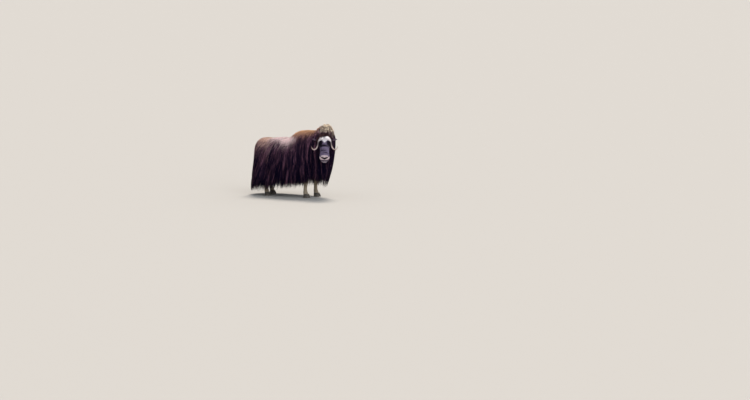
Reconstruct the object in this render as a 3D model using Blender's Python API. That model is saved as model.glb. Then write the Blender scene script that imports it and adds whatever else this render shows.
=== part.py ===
"""A standing muskox at life size, as a still model for display.

Metres, +Z up. The animal faces +X and turns its head to its right, towards -Y.
The origin is on the floor, under the middle of the whole model.

The coat is drawn from one smooth outer surface that falls from the spine to the hem.
A core lies inside that surface, and flat tapered locks grow from the core and hang along it.
"""

import math

import bmesh
import bpy
import numpy as np
from mathutils import Matrix, Vector

# ---------------------------------------------------------------- driving sizes
GAP = 0.0004  # clearance between two nodes that touch
FLAT_DEGREES = 0.3  # faces that meet at less than this are one face
SHOULDER_PLANE = 0.42  # the cut between torso and neck, on X

# The outer coat at stations along the spine, from croup to poll:
# x, y of the ridge; height of the crest; half width; height of the widest line;
# height of the hem; half width at the hem; height of the belly's underside;
# squareness of the back's cross section.
SPINE = np.array(
    [
        (-0.50, 0.000, 1.125, 0.345, 0.760, 0.125, 0.380, 0.500, 2.6),
        (-0.28, 0.000, 1.148, 0.375, 0.740, 0.150, 0.390, 0.480, 2.4),
        (-0.06, 0.000, 1.152, 0.385, 0.730, 0.180, 0.385, 0.470, 2.3),
        (0.17, 0.000, 1.292, 0.378, 0.750, 0.205, 0.365, 0.470, 2.3),
        (0.40, -0.004, 1.314, 0.345, 0.830, 0.235, 0.290, 0.480, 2.3),
        (0.54, -0.012, 1.324, 0.290, 0.960, 0.250, 0.185, 0.490, 2.1),
        (0.725, -0.030, 1.430, 0.195, 1.100, 0.260, 0.080, 0.520, 1.9),
    ]
)
CREST, HALF, WIDE, HEM, HEM_HALF, BELLY, POWER = range(2, 9)
REAR_END = {HALF: 0.350, WIDE: 0.760, HEM: 0.110, HEM_HALF: 0.440, POWER: 3.1}
FRONT_END = {HALF: 0.206, WIDE: 1.120, HEM: 0.260, HEM_HALF: 0.030, POWER: 1.85}
BELLY_POWER = (2.4, 1.5)  # squareness of the underside: along the body, and at the chest
CORE_DEPTH = 0.060  # from the outer coat in to the core, on the flank
CREST_DEPTH = 0.014  # the same along the spine, where the coat is short
ROOT_SUNK = 0.028  # how deep a lock's root goes into the core
ROOT_RISE = 0.030  # how much higher a root on the underside sits than the lock's top

# Head: a runs from poll to nose, b to the animal's left, c out of the face.
HEAD_AT = Vector((0.785, -0.155, 1.168))
HEAD_TURN = math.radians(-60)  # from +X towards -Y
HEAD_DROP = math.radians(42)  # the nose below the horizon
NECK_END = Vector((0.725, -0.030, 0.0))
FACE_PLANE = 0.105  # from the neck's end to where the head is cut from it
# a, half width, dorsal c, ventral c, c of the widest line, squareness
SKULL = np.array(
    [
        (-0.075, 0.050, 0.020, -0.070, -0.020, 2.0),
        (-0.045, 0.088, 0.062, -0.115, -0.010, 2.1),
        (0.010, 0.106, 0.090, -0.150, -0.005, 2.2),
        (0.075, 0.112, 0.096, -0.162, 0.000, 2.5),
        (0.140, 0.105, 0.092, -0.160, 0.000, 2.7),
        (0.210, 0.096, 0.080, -0.145, -0.005, 2.7),
        (0.290, 0.090, 0.067, -0.122, -0.012, 2.7),
        (0.370, 0.091, 0.058, -0.106, -0.018, 2.7),
        (0.430, 0.098, 0.052, -0.104, -0.022, 2.7),
        (0.468, 0.096, 0.038, -0.102, -0.024, 2.6),
        (0.492, 0.076, 0.020, -0.090, -0.028, 2.4),
        (0.503, 0.046, 0.000, -0.066, -0.030, 2.2),
    ]
)
MOUTH_C = -0.058
EYE_AT = (0.138, 0.085, 0.060)
EYE_RADIUS = 0.0195
GAZE = (0.16, 0.80, 0.58)  # the way the left eye looks out of its orbit
EAR_AT = (0.020, 0.112, -0.005)
EAR_STEPS = np.linspace(0, 1, 8)

# Horn centre line as (a, b, c), with its half width along a and its half thickness.
HORN = np.array(
    [
        (0.070, 0.016, 0.090, 0.040, 0.018),
        (0.068, 0.043, 0.099, 0.043, 0.021),
        (0.068, 0.070, 0.092, 0.039, 0.023),
        (0.077, 0.097, 0.064, 0.027, 0.019),
        (0.101, 0.118, 0.024, 0.0175, 0.0165),
        (0.146, 0.130, -0.006, 0.0140, 0.0136),
        (0.200, 0.143, -0.014, 0.0128, 0.0124),
        (0.253, 0.169, -0.012, 0.0117, 0.0114),
        (0.281, 0.208, -0.002, 0.0102, 0.0102),
        (0.268, 0.241, 0.022, 0.0076, 0.0076),
        (0.240, 0.255, 0.052, 0.0024, 0.0024),
    ]
)

# Legs, from the belly down to the hoof: x, y, z, fore-and-aft half depth, half width.
FORELEG = np.array(
    [
        (0.350, 0.155, 0.640, 0.100, 0.085),
        (0.365, 0.160, 0.500, 0.082, 0.068),
        (0.372, 0.160, 0.370, 0.056, 0.050),
        (0.374, 0.160, 0.310, 0.052, 0.050),
        (0.368, 0.160, 0.230, 0.036, 0.037),
        (0.366, 0.160, 0.150, 0.036, 0.038),
        (0.372, 0.160, 0.105, 0.044, 0.045),
        (0.386, 0.160, 0.050, 0.046, 0.048),
    ]
)
HINDLEG = np.array(
    [
        (-0.470, 0.150, 0.680, 0.135, 0.090),
        (-0.510, 0.158, 0.560, 0.105, 0.075),
        (-0.580, 0.160, 0.440, 0.062, 0.048),
        (-0.612, 0.160, 0.370, 0.052, 0.042),
        (-0.600, 0.160, 0.300, 0.040, 0.036),
        (-0.580, 0.160, 0.180, 0.036, 0.036),
        (-0.566, 0.160, 0.110, 0.043, 0.043),
        (-0.550, 0.160, 0.050, 0.045, 0.046),
    ]
)
STRIDE = {  # each foot stands a little off the square
    "foreleg_left": 0.030,
    "foreleg_right": -0.015,
    "hindleg_left": -0.035,
    "hindleg_right": 0.040,
}
HOOF_TOP = 0.068
TAIL_ROOT_Z = 0.930

# Materials: name, colour, roughness
COAT_BROWN = ("guard_hair", (0.045, 0.026, 0.024), 0.75)
COAT_FACE = ("face_hair", (0.090, 0.068, 0.066), 0.70)
STOCKING = ("stocking_hair", (0.340, 0.270, 0.210), 0.80)
HORN_PALE = ("horn_keratin", (0.560, 0.500, 0.430), 0.45)
HOOF_DARK = ("hoof_keratin", (0.030, 0.026, 0.024), 0.55)
EYE_DARK = ("eye_cornea", (0.018, 0.011, 0.008), 0.08)


# ---------------------------------------------------------------- small tools
def cubic(keys, values, at):
    """A smooth curve through values at keys, read at one place or many."""
    keys = np.asarray(keys, float)
    values = np.asarray(values, float)
    if values.ndim == 1:
        return cubic(keys, values[:, None], at)[..., 0]
    slope = np.gradient(values, keys, axis=0)
    at = np.clip(np.asarray(at, float), keys[0], keys[-1])
    i = np.clip(np.searchsorted(keys, at, side="right") - 1, 0, len(keys) - 2)
    width = keys[i + 1] - keys[i]
    s = ((at - keys[i]) / width)[..., None]
    width = width[..., None]
    return (
        values[i] * (1 + 2 * s) * (1 - s) ** 2
        + values[i + 1] * s * s * (3 - 2 * s)
        + slope[i] * width * s * (1 - s) ** 2
        - slope[i + 1] * width * s * s * (1 - s)
    )


def unit(v):
    return v / np.maximum(np.linalg.norm(v, axis=-1, keepdims=True), 1e-9)


def ease(s):
    s = np.clip(s, 0.0, 1.0)
    return s * s * (3 - 2 * s)


def finish(kind):
    name, colour, roughness = kind
    material = bpy.data.materials.get(name)
    if material is None:
        material = bpy.data.materials.new(name)
        material.use_nodes = True
        shader = material.node_tree.nodes["Principled BSDF"]
        shader.inputs["Base Color"].default_value = (*colour, 1.0)
        shader.inputs["Roughness"].default_value = roughness
        shader.inputs["Metallic"].default_value = 0.0
    return material


def link(name, mesh, kind=None):
    obj = bpy.data.objects.new(name, mesh)
    bpy.data.collections["muskox"].objects.link(obj)
    if kind is not None:
        mesh.materials.clear()
        mesh.materials.append(finish(kind))
    return obj


def loft(name, rings, kind=None):
    """A closed skin over rings of equal point count, each end drawn to its middle."""
    rings = np.asarray(rings, float)
    count, sides = rings.shape[:2]
    points = [*rings.reshape(-1, 3), rings[0].mean(0), rings[-1].mean(0)]
    foot, head = count * sides, count * sides + 1
    faces = []
    for j in range(sides):
        k = (j + 1) % sides
        faces.append((foot, k, j))
        for i in range(count - 1):
            a, b = i * sides, (i + 1) * sides
            faces.append((a + j, a + k, b + k, b + j))
        last = (count - 1) * sides
        faces.append((head, last + j, last + k))
    mesh = bpy.data.meshes.new(name)
    mesh.from_pydata([tuple(p) for p in points], [], faces)
    obj = link(name, mesh, kind)
    tidy(obj)
    return obj


def tidy(obj):
    """Merges doubled points, makes triangles and turns the faces outwards."""
    work = bmesh.new()
    work.from_mesh(obj.data)
    bmesh.ops.remove_doubles(work, verts=work.verts, dist=1e-5)
    bmesh.ops.dissolve_degenerate(work, edges=work.edges, dist=1e-6)
    bmesh.ops.triangulate(work, faces=work.faces)
    bmesh.ops.recalc_face_normals(work, faces=work.faces)
    work.to_mesh(obj.data)
    work.free()


def ball(name, centre, radii, turn=None, segments=12, rings=8):
    work = bmesh.new()
    bmesh.ops.create_uvsphere(work, u_segments=segments, v_segments=rings, radius=1.0)
    place = Matrix.Translation(centre)
    if turn is not None:
        place = place @ turn.to_4x4()
    bmesh.ops.transform(work, matrix=place @ Matrix.Diagonal((*radii, 1.0)), verts=work.verts)
    bmesh.ops.triangulate(work, faces=work.faces)
    mesh = bpy.data.meshes.new(name)
    work.to_mesh(mesh)
    work.free()
    return link(name, mesh)


def block(name, low, high, frame=None):
    """A box between two corners, in the frame's own axes if one is given."""
    work = bmesh.new()
    bmesh.ops.create_cube(work, size=1.0)
    low, high = Vector(low), Vector(high)
    size = Matrix.Diagonal((*(high - low), 1.0))
    bmesh.ops.transform(work, matrix=Matrix.Translation((low + high) / 2) @ size, verts=work.verts)
    if frame is not None:
        bmesh.ops.transform(work, matrix=frame, verts=work.verts)
    mesh = bpy.data.meshes.new(name)
    work.to_mesh(mesh)
    work.free()
    return link(name, mesh)


def apply_boolean(obj, operation, others):
    """One Boolean of obj with all the others, which are then removed."""
    group = bpy.data.collections.new("cutters")
    for other in others:
        group.objects.link(other)
    modifier = obj.modifiers.new("join", "BOOLEAN")
    modifier.operation = operation
    modifier.solver = "MANIFOLD"
    modifier.operand_type = "COLLECTION"
    modifier.collection = group
    bpy.context.view_layer.update()
    graph = bpy.context.evaluated_depsgraph_get()
    made = bpy.data.meshes.new_from_object(obj.evaluated_get(graph))
    obj.modifiers.clear()
    obj.data = made
    for other in others:
        bpy.data.objects.remove(other)
    bpy.data.collections.remove(group)
    return obj


def largest_body(obj):
    """Leaves only the closed surface that holds the most volume, with its flat faces merged."""
    work = bmesh.new()
    work.from_mesh(obj.data)
    bmesh.ops.triangulate(work, faces=work.faces)
    work.faces.ensure_lookup_table()
    seen, bodies = set(), []
    for start in work.faces:
        if start.index in seen:
            continue
        body, queue = [], [start]
        seen.add(start.index)
        while queue:
            face = queue.pop()
            body.append(face)
            for edge in face.edges:
                for near in edge.link_faces:
                    if near.index not in seen:
                        seen.add(near.index)
                        queue.append(near)
        volume = sum(
            f.verts[0].co.dot(f.verts[1].co.cross(f.verts[2].co)) / 6 for f in body
        )
        bodies.append((volume, body))
    best = max(bodies, key=lambda pair: pair[0])[1]
    drop = set(work.faces) - set(best)
    bmesh.ops.delete(work, geom=list(drop), context="FACES")
    flat = math.radians(FLAT_DEGREES)
    bmesh.ops.dissolve_limit(work, angle_limit=flat, verts=work.verts, edges=work.edges)
    bmesh.ops.triangulate(work, faces=work.faces)
    work.to_mesh(obj.data)
    work.free()
    return obj


# ---------------------------------------------------------------- the coat's surface
RIDGE_KEYS = np.concatenate(
    [[0.0], np.cumsum(np.linalg.norm(np.diff(SPINE[:, :2], axis=0), axis=1))]
)
RIDGE_KEYS = RIDGE_KEYS / RIDGE_KEYS[-1]


def places(lap):
    """Ridge point, outward direction and coat sizes for laps round the body.

    Lap 0 to 1 runs up the left side from croup to poll, 1 to 2 round the chest,
    2 to 3 back down the right side, and 3 to 4 round the rump.
    """
    lap = np.mod(np.asarray(lap, float), 4.0)
    side = np.floor(lap).astype(int)
    part = lap - side
    along = np.select([side == 0, side == 1, side == 2], [part, 1.0, 1 - part], 0.0)
    rows = cubic(RIDGE_KEYS, SPINE, along)
    ahead = cubic(RIDGE_KEYS, SPINE[:, :2], np.minimum(along + 0.01, 1.0))
    behind = cubic(RIDGE_KEYS, SPINE[:, :2], np.maximum(along - 0.01, 0.0))
    forward = unit(ahead - behind)
    left = np.stack([-forward[..., 1], forward[..., 0]], -1)
    turn = part * math.pi
    swing = np.cos(turn)[..., None] * left + np.sin(turn)[..., None] * forward
    back = -np.cos(turn)[..., None] * left - np.sin(turn)[..., None] * forward
    s = side[..., None]
    outward = np.where(s == 0, left, np.where(s == 1, swing, np.where(s == 2, -left, back)))
    share = np.sin(turn) ** 2
    for number, end in ((1, FRONT_END), (3, REAR_END)):
        for column, value in end.items():
            mixed = rows[..., column] * (1 - share) + value * share
            rows[..., column] = np.where(side == number, mixed, rows[..., column])
    chest = np.where(side == 1, 1.0, np.where(side == 3, 0.0, ease((along - 0.75) / 0.25)))
    return rows, outward, chest


def ridge_point(rows, outward, radius, height):
    flat = rows[..., :2] + outward * radius[..., None]
    return np.concatenate([flat, height[..., None]], -1)


def coat(lap, fall, depth=0.0):
    """A point of the outer coat, or depth inside it.

    fall 0 is the crest, 0.5 the widest line and 1 the hem.
    """
    lap, fall, depth = np.broadcast_arrays(
        np.asarray(lap, float), np.asarray(fall, float), np.asarray(depth, float)
    )
    rows, outward, chest = places(lap)
    angle = np.clip(fall, 0, 0.5) * math.pi
    hang = np.clip((fall - 0.5) / 0.5, 0, 1.2)
    radius = (rows[..., HALF] - depth) * np.sin(angle) ** (2 / rows[..., POWER])
    rise = rows[..., CREST] - rows[..., WIDE] - depth
    height = rows[..., WIDE] + rise * np.abs(np.cos(angle)) ** (2 / rows[..., POWER])
    radius = radius + (rows[..., HEM_HALF] - rows[..., HALF]) * hang ** (1 + chest)
    height = np.where(
        fall > 0.5, rows[..., WIDE] - (rows[..., WIDE] - rows[..., HEM]) * hang, height
    )
    return ridge_point(rows, outward, radius, height)


def core(lap, fall, grow=0.0):
    """A point of the core: fall 0 is the crest, 0.5 the widest line, 1 the belly."""
    lap, fall = np.broadcast_arrays(np.asarray(lap, float), np.asarray(fall, float))
    rows, outward, chest = places(lap)
    over = np.clip(fall, 0, 0.5) * math.pi
    under = np.clip(fall - 0.5, 0, 0.5) * math.pi
    half = rows[..., HALF] - CORE_DEPTH + grow
    crest = rows[..., CREST] - CREST_DEPTH + grow - rows[..., WIDE]
    belly = rows[..., WIDE] - rows[..., BELLY] + grow
    power = BELLY_POWER[0] + (BELLY_POWER[1] - BELLY_POWER[0]) * chest
    top = fall <= 0.5
    radius = np.where(
        top,
        half * np.sin(over) ** (2 / rows[..., POWER]),
        half * np.abs(np.cos(under)) ** (2 / power),
    )
    height = np.where(
        top,
        crest * np.abs(np.cos(over)) ** (2 / rows[..., POWER]),
        -belly * np.sin(under) ** (2 / power),
    )
    return ridge_point(rows, outward, radius, rows[..., WIDE] + height)


def core_beside(lap, height):
    """The point of the core's underside at a height, as far down as it reaches."""
    rows, outward, chest = places(lap)
    power = BELLY_POWER[0] + (BELLY_POWER[1] - BELLY_POWER[0]) * chest
    share = np.clip((rows[WIDE] - height) / (rows[WIDE] - rows[BELLY]), 0, 0.90)
    return core(lap, 0.5 + math.asin(share ** (power / 2)) / math.pi)


def core_body(name, grow=0.0):
    """The closed core, from crest to belly and all the way round."""
    flanks = np.linspace(0, 1, 15)[:-1]
    ends = np.linspace(0, 1, 9)[:-1]
    laps = np.concatenate([flanks, 1 + ends, 2 + flanks, 3 + ends])
    falls = np.concatenate([np.linspace(0, 0.5, 7), 0.5 + np.linspace(0, 0.5, 6)[1:]])
    grid = core(laps[None, :], falls[:, None], grow)
    count, sides = grid.shape[:2]
    faces = []
    for i in range(count - 1):
        here, below = i * sides, (i + 1) * sides
        for j in range(sides):
            k = (j + 1) % sides
            faces.append((here + j, here + k, below + k, below + j))
    mesh = bpy.data.meshes.new(name)
    mesh.from_pydata([tuple(p) for p in grid.reshape(-1, 3)], [], faces)
    obj = link(name, mesh)
    tidy(obj)
    return obj


# ---------------------------------------------------------------- locks of hair
# width of a lock along its length, as shares
LOCK_SHAPE = np.array([(0.0, 0.32), (0.18, 0.68), (0.42, 1.0), (0.68, 0.84), (0.87, 0.50)])


def lock(name, path, outward, width, thickness):
    """A flat tapered lock along a path: three sided, with its ridge outwards."""
    keys = np.linspace(0, 1, len(path))
    s = LOCK_SHAPE[:, 0]
    points = cubic(keys, path, s)
    tip = np.asarray(path[-1], float)
    out = unit(cubic(keys, outward, s))
    ahead = cubic(keys, path, np.minimum(s + 0.02, 1))
    behind = cubic(keys, path, np.maximum(s - 0.02, 0))
    forward = unit(ahead - behind)
    across = unit(np.cross(forward, out))
    out = unit(np.cross(across, forward))
    half = (LOCK_SHAPE[:, 1] * width / 2)[:, None]
    thick = (LOCK_SHAPE[:, 1] ** 0.5 * thickness / 2)[:, None]
    flat = points - out * thick * 0.5
    rings = np.stack([flat + across * half, points + out * thick, flat - across * half], axis=1)
    count = len(rings)
    verts = [*rings.reshape(-1, 3), tip]
    faces = [(2, 1, 0)]
    for i in range(count - 1):
        for j in range(3):
            k = (j + 1) % 3
            faces.append((i * 3 + j, i * 3 + k, i * 3 + 3 + k, i * 3 + 3 + j))
    last = (count - 1) * 3
    faces += [(last + j, last + (j + 1) % 3, len(verts) - 1) for j in range(3)]
    mesh = bpy.data.meshes.new(name)
    mesh.from_pydata([tuple(p) for p in verts], [], faces)
    obj = link(name, mesh)
    tidy(obj)
    return obj


OUTLINE_LAPS = np.linspace(0, 4, 801)


def outline_lengths():
    rows, outward, _ = places(OUTLINE_LAPS[:-1])
    flat = rows[:, :2] + outward * rows[:, HALF, None]
    flat = np.concatenate([flat, flat[:1]])
    steps = np.linalg.norm(np.diff(flat, axis=0), axis=1)
    return np.concatenate([[0.0], np.cumsum(steps)])


OUTLINE = outline_lengths()
# the same outline run three times over, so that a range of laps may start before 0 or end past 4
THREE_ROUNDS = np.concatenate([OUTLINE[:-1] - OUTLINE[-1], OUTLINE[:-1], OUTLINE + OUTLINE[-1]])
THREE_LAPS = np.linspace(-4, 8, 2401)


def spread(first, last, spacing, stagger=0.0):
    """Laps from first to last, evenly spaced along the body's outline."""
    low, high = np.interp([first, last], THREE_LAPS, THREE_ROUNDS)
    count = max(int(round((high - low) / spacing)), 1)
    at = low + (np.arange(count) + 0.5 + stagger) * (high - low) / count
    return np.interp(at, THREE_ROUNDS, THREE_LAPS)


# Tiers of locks, lowest first: root fall, tip fall, spacing, width, how deep under the
# outer coat it hangs, how far its tip comes out to it, backward sweep in laps.
BODY_TIERS = (
    ("hem", 0.60, 1.00, 0.087, 0.122, 0.049, 0.010, 0.020),
    ("skirt", 0.42, 0.86, 0.089, 0.126, 0.028, 0.010, 0.022),
    ("flank", 0.25, 0.68, 0.095, 0.132, 0.006, 0.002, 0.026),
)
MANE_TIERS = (
    ("hem", 0.56, 1.00, 0.084, 0.114, 0.047, 0.010, 0.016),
    ("skirt", 0.38, 0.82, 0.086, 0.116, 0.027, 0.008, 0.018),
    ("mane", 0.21, 0.64, 0.089, 0.118, 0.008, 0.002, 0.020),
    ("crest", 0.07, 0.42, 0.100, 0.124, 0.000, 0.004, 0.024),
)
LAYER = 0.011  # every second lock of a tier hangs this much further out
LOCK_THICK = 0.012


def coat_lock(name, lap, tier, dice, blocked=None):
    """One lock of a tier, rooted in the core and hanging along the outer coat."""
    _, root, tip, _, width, deep, tip_deep, sweep = tier
    tip = tip + dice.uniform(-0.050, 0.030)
    if blocked is not None:
        tries = np.linspace(root, tip, 33)
        open_at = tries[~blocked(coat(lap, tries, deep))]
        if len(open_at) == 0 or tip - open_at[0] < 0.14:
            return None
        root = float(open_at[0])
    s = np.linspace(0, 1, 9)
    fall = root + (tip - root) * s
    side = float(np.sin(lap * math.pi / 2 + math.pi / 4))
    drift = -sweep * np.clip(side * 2, -1, 1) * s**1.3 * dice.uniform(0.6, 1.4)
    laps = lap + drift + dice.uniform(-0.006, 0.006) * np.sin(s * math.pi * dice.uniform(1.0, 2.0))
    hang = deep + (tip_deep - deep) * ease((s - 0.45) / 0.55)
    path = coat(laps, fall)
    inside = coat(laps, fall, 0.02)
    _, outward, _ = places(laps)
    flat_out = np.concatenate([outward, np.zeros((len(s), 1))], -1)
    along = unit(np.gradient(path, axis=0))
    across = unit(np.cross(along, flat_out))
    out = unit(np.cross(across, along))
    out = out * np.sign((out * (path - inside)).sum(-1, keepdims=True) + 1e-9)
    path = path - out * hang[:, None]
    skin = core(lap, root) if root < 0.5 else core_beside(lap, path[0, 2] + ROOT_RISE)
    rooted = skin - out[0] * ROOT_SUNK
    take = (1 - ease(s / 0.40))[:, None]
    path = path * (1 - take) + (rooted + (path - path[0])) * take
    if blocked is not None:
        inside_it = blocked(path)
        if inside_it.any():
            stop = int(np.argmax(inside_it))
            if stop < 5:
                return None
            path, out = path[:stop], out[:stop]
    return lock(name, path, out, width * dice.uniform(0.85, 1.12), LOCK_THICK)


def tier_locks(name, tiers, ranges, seed, blocked=None):
    """All the locks of some tiers over ranges of laps."""
    dice = np.random.default_rng(seed)
    made = []
    for level, tier in enumerate(tiers):
        for first, last in ranges:
            laps = spread(first, last, tier[3], 0.25 * (level % 2))
            for i, lap in enumerate(laps):
                layer = LAYER * (i % 2)
                placed = (*tier[:5], tier[5] - layer, tier[6] - layer, tier[7])
                obj = coat_lock(f"{name}_{level}_{i}", lap, placed, dice, blocked)
                if obj is not None:
                    made.append(obj)
    return made


# ---------------------------------------------------------------- torso and neck
def half_torso(name, side, ranges, seed):
    body = core_body(name)
    apply_boolean(body, "UNION", tier_locks(name, BODY_TIERS, ranges, seed))
    low_y, high_y = (GAP / 2, 1.0) if side > 0 else (-1.0, -GAP / 2)
    keep = block("keep", (-2, low_y, -1), (SHOULDER_PLANE - GAP / 2, high_y, 2))
    apply_boolean(body, "INTERSECT", [keep])
    return body


def lap_of_x(x):
    """The lap on the left side where the ridge stands at x."""
    along = np.linspace(0, 1, 401)
    return float(np.interp(x, cubic(RIDGE_KEYS, SPINE[:, 0], along), along))


def head_frame():
    """Columns a, b, c of the head and its origin, as a matrix."""
    facing = Vector((math.cos(HEAD_TURN), math.sin(HEAD_TURN), 0))
    up = Vector((0, 0, 1))
    a = facing * math.cos(HEAD_DROP) - up * math.sin(HEAD_DROP)
    c = facing * math.sin(HEAD_DROP) + up * math.cos(HEAD_DROP)
    b = c.cross(a)
    frame = Matrix((a, b, c)).transposed().to_4x4()
    frame.translation = HEAD_AT
    return frame


HEAD_FRAME = head_frame()
HEAD_AXES = np.array(HEAD_FRAME)[:3, :3]


def on_head(points):
    return np.asarray(points, float) @ HEAD_AXES.T + np.array(HEAD_AT)


def facing_frame():
    """The frame of the head's own block of space: out of the neck, to the left, up."""
    turn = Matrix.Rotation(HEAD_TURN, 4, "Z")
    turn.translation = NECK_END
    return turn


HEAD_SPACE = ((FACE_PLANE, -0.180, 0.760), (0.9, 0.180, 1.305))


def in_head_space(points, margin=0.012):
    local = np.array(facing_frame().inverted())
    p = points @ local[:3, :3].T + local[:3, 3]
    low, high = (np.array(corner) for corner in HEAD_SPACE)
    return ((p > low - margin) & (p < high + margin)).all(-1)


def head_space(name, shrink):
    low, high = (Vector(corner) for corner in HEAD_SPACE)
    margin = Vector((shrink,) * 3)
    return block(name, low + margin, high - margin, facing_frame())


def make_neck():
    body = core_body("neck")
    start = lap_of_x(SHOULDER_PLANE)
    ranges = [(start + 0.01, 3 - start - 0.01)]
    apply_boolean(body, "UNION", tier_locks("mane", MANE_TIERS, ranges, 7, in_head_space))
    keep = block("keep", (SHOULDER_PLANE + GAP / 2, -2, -1), (3, 2, 3))
    apply_boolean(body, "INTERSECT", [keep])
    for side in (1, -1):
        apply_boolean(body, "DIFFERENCE", [ear_root("ear_cut", side, EAR_STEPS)])
    apply_boolean(body, "DIFFERENCE", [head_space("space", 0.0)])
    body.data.materials.append(finish(COAT_BROWN))
    return largest_body(body)


# ---------------------------------------------------------------- head
def skull_ring(a, grow=0.0, points=18):
    half, top, bottom, wide, power = cubic(SKULL[:, 0], SKULL[:, 1:], a)
    turn = np.arange(points) * 2 * math.pi / points
    across = np.sign(np.cos(turn)) * np.abs(np.cos(turn)) ** (2 / power)
    rise = np.sign(np.sin(turn)) * np.abs(np.sin(turn)) ** (2 / power)
    depth = np.where(rise > 0, top - wide, wide - bottom) + grow
    return np.stack([np.full(points, a), across * (half + grow), wide + rise * depth], -1)


def skull_half_width(a, c):
    half, top, bottom, wide, power = cubic(SKULL[:, 0], SKULL[:, 1:], a)
    depth = (top - wide) if c > wide else (wide - bottom)
    return half * max(1 - abs((c - wide) / depth) ** power, 0.0) ** (1 / power)


def skull(name, grow=0.0):
    back, nose = [-0.075, -0.055], [0.455, 0.478, 0.494, 0.503]
    stations = np.concatenate([back, np.linspace(-0.02, 0.43, 11), nose])
    rings = [skull_ring(a, grow) for a in stations]
    return loft(name, on_head(np.array(rings)))


def tube(name, path, radii, sides=8, kind=None):
    """A round tube through points of the head's frame."""
    path = np.asarray(path, float)
    radii = np.broadcast_to(radii, (len(path),))
    along = unit(np.gradient(path, axis=0))
    start = np.array((0.0, 0.0, 1.0)) if abs(along[0][2]) < 0.8 else np.array((1.0, 0.0, 0.0))
    rings, side = [], unit(np.cross(along[0], start))
    for point, way, radius in zip(path, along, radii):
        side = unit(side - way * side.dot(way))
        other = np.cross(way, side)
        turn = np.arange(sides)[:, None] * 2 * math.pi / sides
        rings.append(point + radius * (np.cos(turn) * side + np.sin(turn) * other))
    return loft(name, on_head(np.array(rings)), kind)


def gaze_axes(side):
    """The way an eye looks, and the two directions across it: to the nose, and up the brow."""
    look = unit(np.array(GAZE)) * (1, side, 1)
    nose = unit(np.array((1.0, 0.0, 0.0)) - look * look[0])
    return look, nose, np.cross(look, nose) * side


def eyelid(name, side, way):
    """Half a ring of lid over the eyeball, from its front corner to its back corner."""
    look, nose, up = gaze_axes(side)
    turn = np.linspace(-0.06, 1.06, 6)[:, None] * math.pi
    ring = np.cos(turn) * nose * 1.12 + np.sin(turn) * up * (0.80 * way)
    lift = look * (0.38 + 0.42 * np.sin(turn))
    centre = np.array(EYE_AT) * (1, side, 1)
    path = centre + (ring + lift) * EYE_RADIUS
    return tube(name, path, np.array([0.003, 0.0060, 0.0068, 0.0068, 0.0060, 0.003]), 5)


def mouth_cutter(name):
    """The line of the mouth: a groove round the muzzle from corner to corner."""
    side = [(a, skull_half_width(a, MOUTH_C), MOUTH_C) for a in np.linspace(0.350, 0.488, 5)]
    half = np.array([*side, (0.501, 0.030, MOUTH_C), (0.504, 0.0, MOUTH_C)])
    half[:, 2] += 0.010 * ease((0.40 - half[:, 0]) / 0.06)
    other = half[-2::-1] * np.array((1, -1, 1))
    return tube(name, np.concatenate([half, other]), 0.0042, 5)


def nostril_cutter(name, side):
    path = [
        (0.468, 0.070 * side, 0.012),
        (0.484, 0.052 * side, 0.003),
        (0.498, 0.031 * side, -0.004),
        (0.508, 0.011 * side, -0.010),
    ]
    return tube(name, path, np.array([0.005, 0.0095, 0.0105, 0.005]), 7)


def hanging_lock(name, root, drop, width, push, dice):
    """A lock rooted in the head at (a, b, c), thrown out by push and hanging down."""
    start = on_head(root)
    centre = on_head((root[0], 0.0, -0.05))
    away = unit(np.array([*(start - centre)[:2], 0.0]))
    s = np.linspace(0, 1, 6)[:, None]
    drift = away * push * ease(s * 1.6) + away * -0.25 * push * s**3
    sway = np.cross(away, (0, 0, 1)) * dice.uniform(-0.010, 0.010) * s**2
    path = start + drift + sway - np.array((0, 0, 1)) * drop * s**1.15
    return lock(name, path, np.repeat(away[None], 6, 0), width, LOCK_THICK)


# Rows of hair on each cheek: share of the half width, c, drop, how many, last a
CHEEK_ROWS = ((0.96, -0.040, 0.150, 4, 0.280), (0.78, -0.095, 0.140, 3, 0.250))
BEARD_A = (0.200, 0.300, 0.400)  # along the chin and throat


def head_locks():
    """Cheek hair and beard."""
    dice = np.random.default_rng(11)
    made = []
    for side in (1, -1):
        for row, (share, c, drop, count, last) in enumerate(CHEEK_ROWS):
            for i, a in enumerate(np.linspace(0.100 + 0.020 * row, last, count)):
                here = c * (1.0 if a < 0.2 else 0.86)
                b = (skull_half_width(a, here) * share - 0.012) * side
                length = drop * (1.0 - 0.35 * i / (count - 1)) * dice.uniform(0.85, 1.15)
                name = f"cheek_{side}_{row}_{i}"
                made.append(hanging_lock(name, (a, b, here), length, 0.076, 0.020, dice))
    for i, a in enumerate(BEARD_A):
        root = (a, 0.014 * (-1) ** i, -0.080)
        length = 0.100 * dice.uniform(0.8, 1.1)
        made.append(hanging_lock(f"beard_{i}", root, length, 0.060, 0.004, dice))
    return made


# Clumps of the pale tuft between the horn bases: a, b, length
FOREHEAD = ((0.010, 0.000, 0.080), (0.066, -0.012, 0.074), (0.082, 0.012, 0.078))


def forehead_locks():
    """The pale woolly tuft between the horn bases, down between the eyes."""
    made = []
    for i, (a, b, length) in enumerate(FOREHEAD):
        s = np.linspace(0, 1, 6)[:, None]
        path = np.array((a, b, 0.082)) + np.array((length, b * 0.4, 0.0)) * s
        path[:, 2] += 0.034 * np.sin(s[:, 0] * math.pi * 0.62) - 0.012 * s[:, 0]
        out = np.repeat(HEAD_AXES[:, 2][None], 6, 0)
        made.append(lock(f"tuft_{i}", on_head(path), out, 0.044, 0.016))
    return made


def socket_centre(side):
    a, b, c = EYE_AT
    return Vector(on_head((a, b * side, c)))


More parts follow.
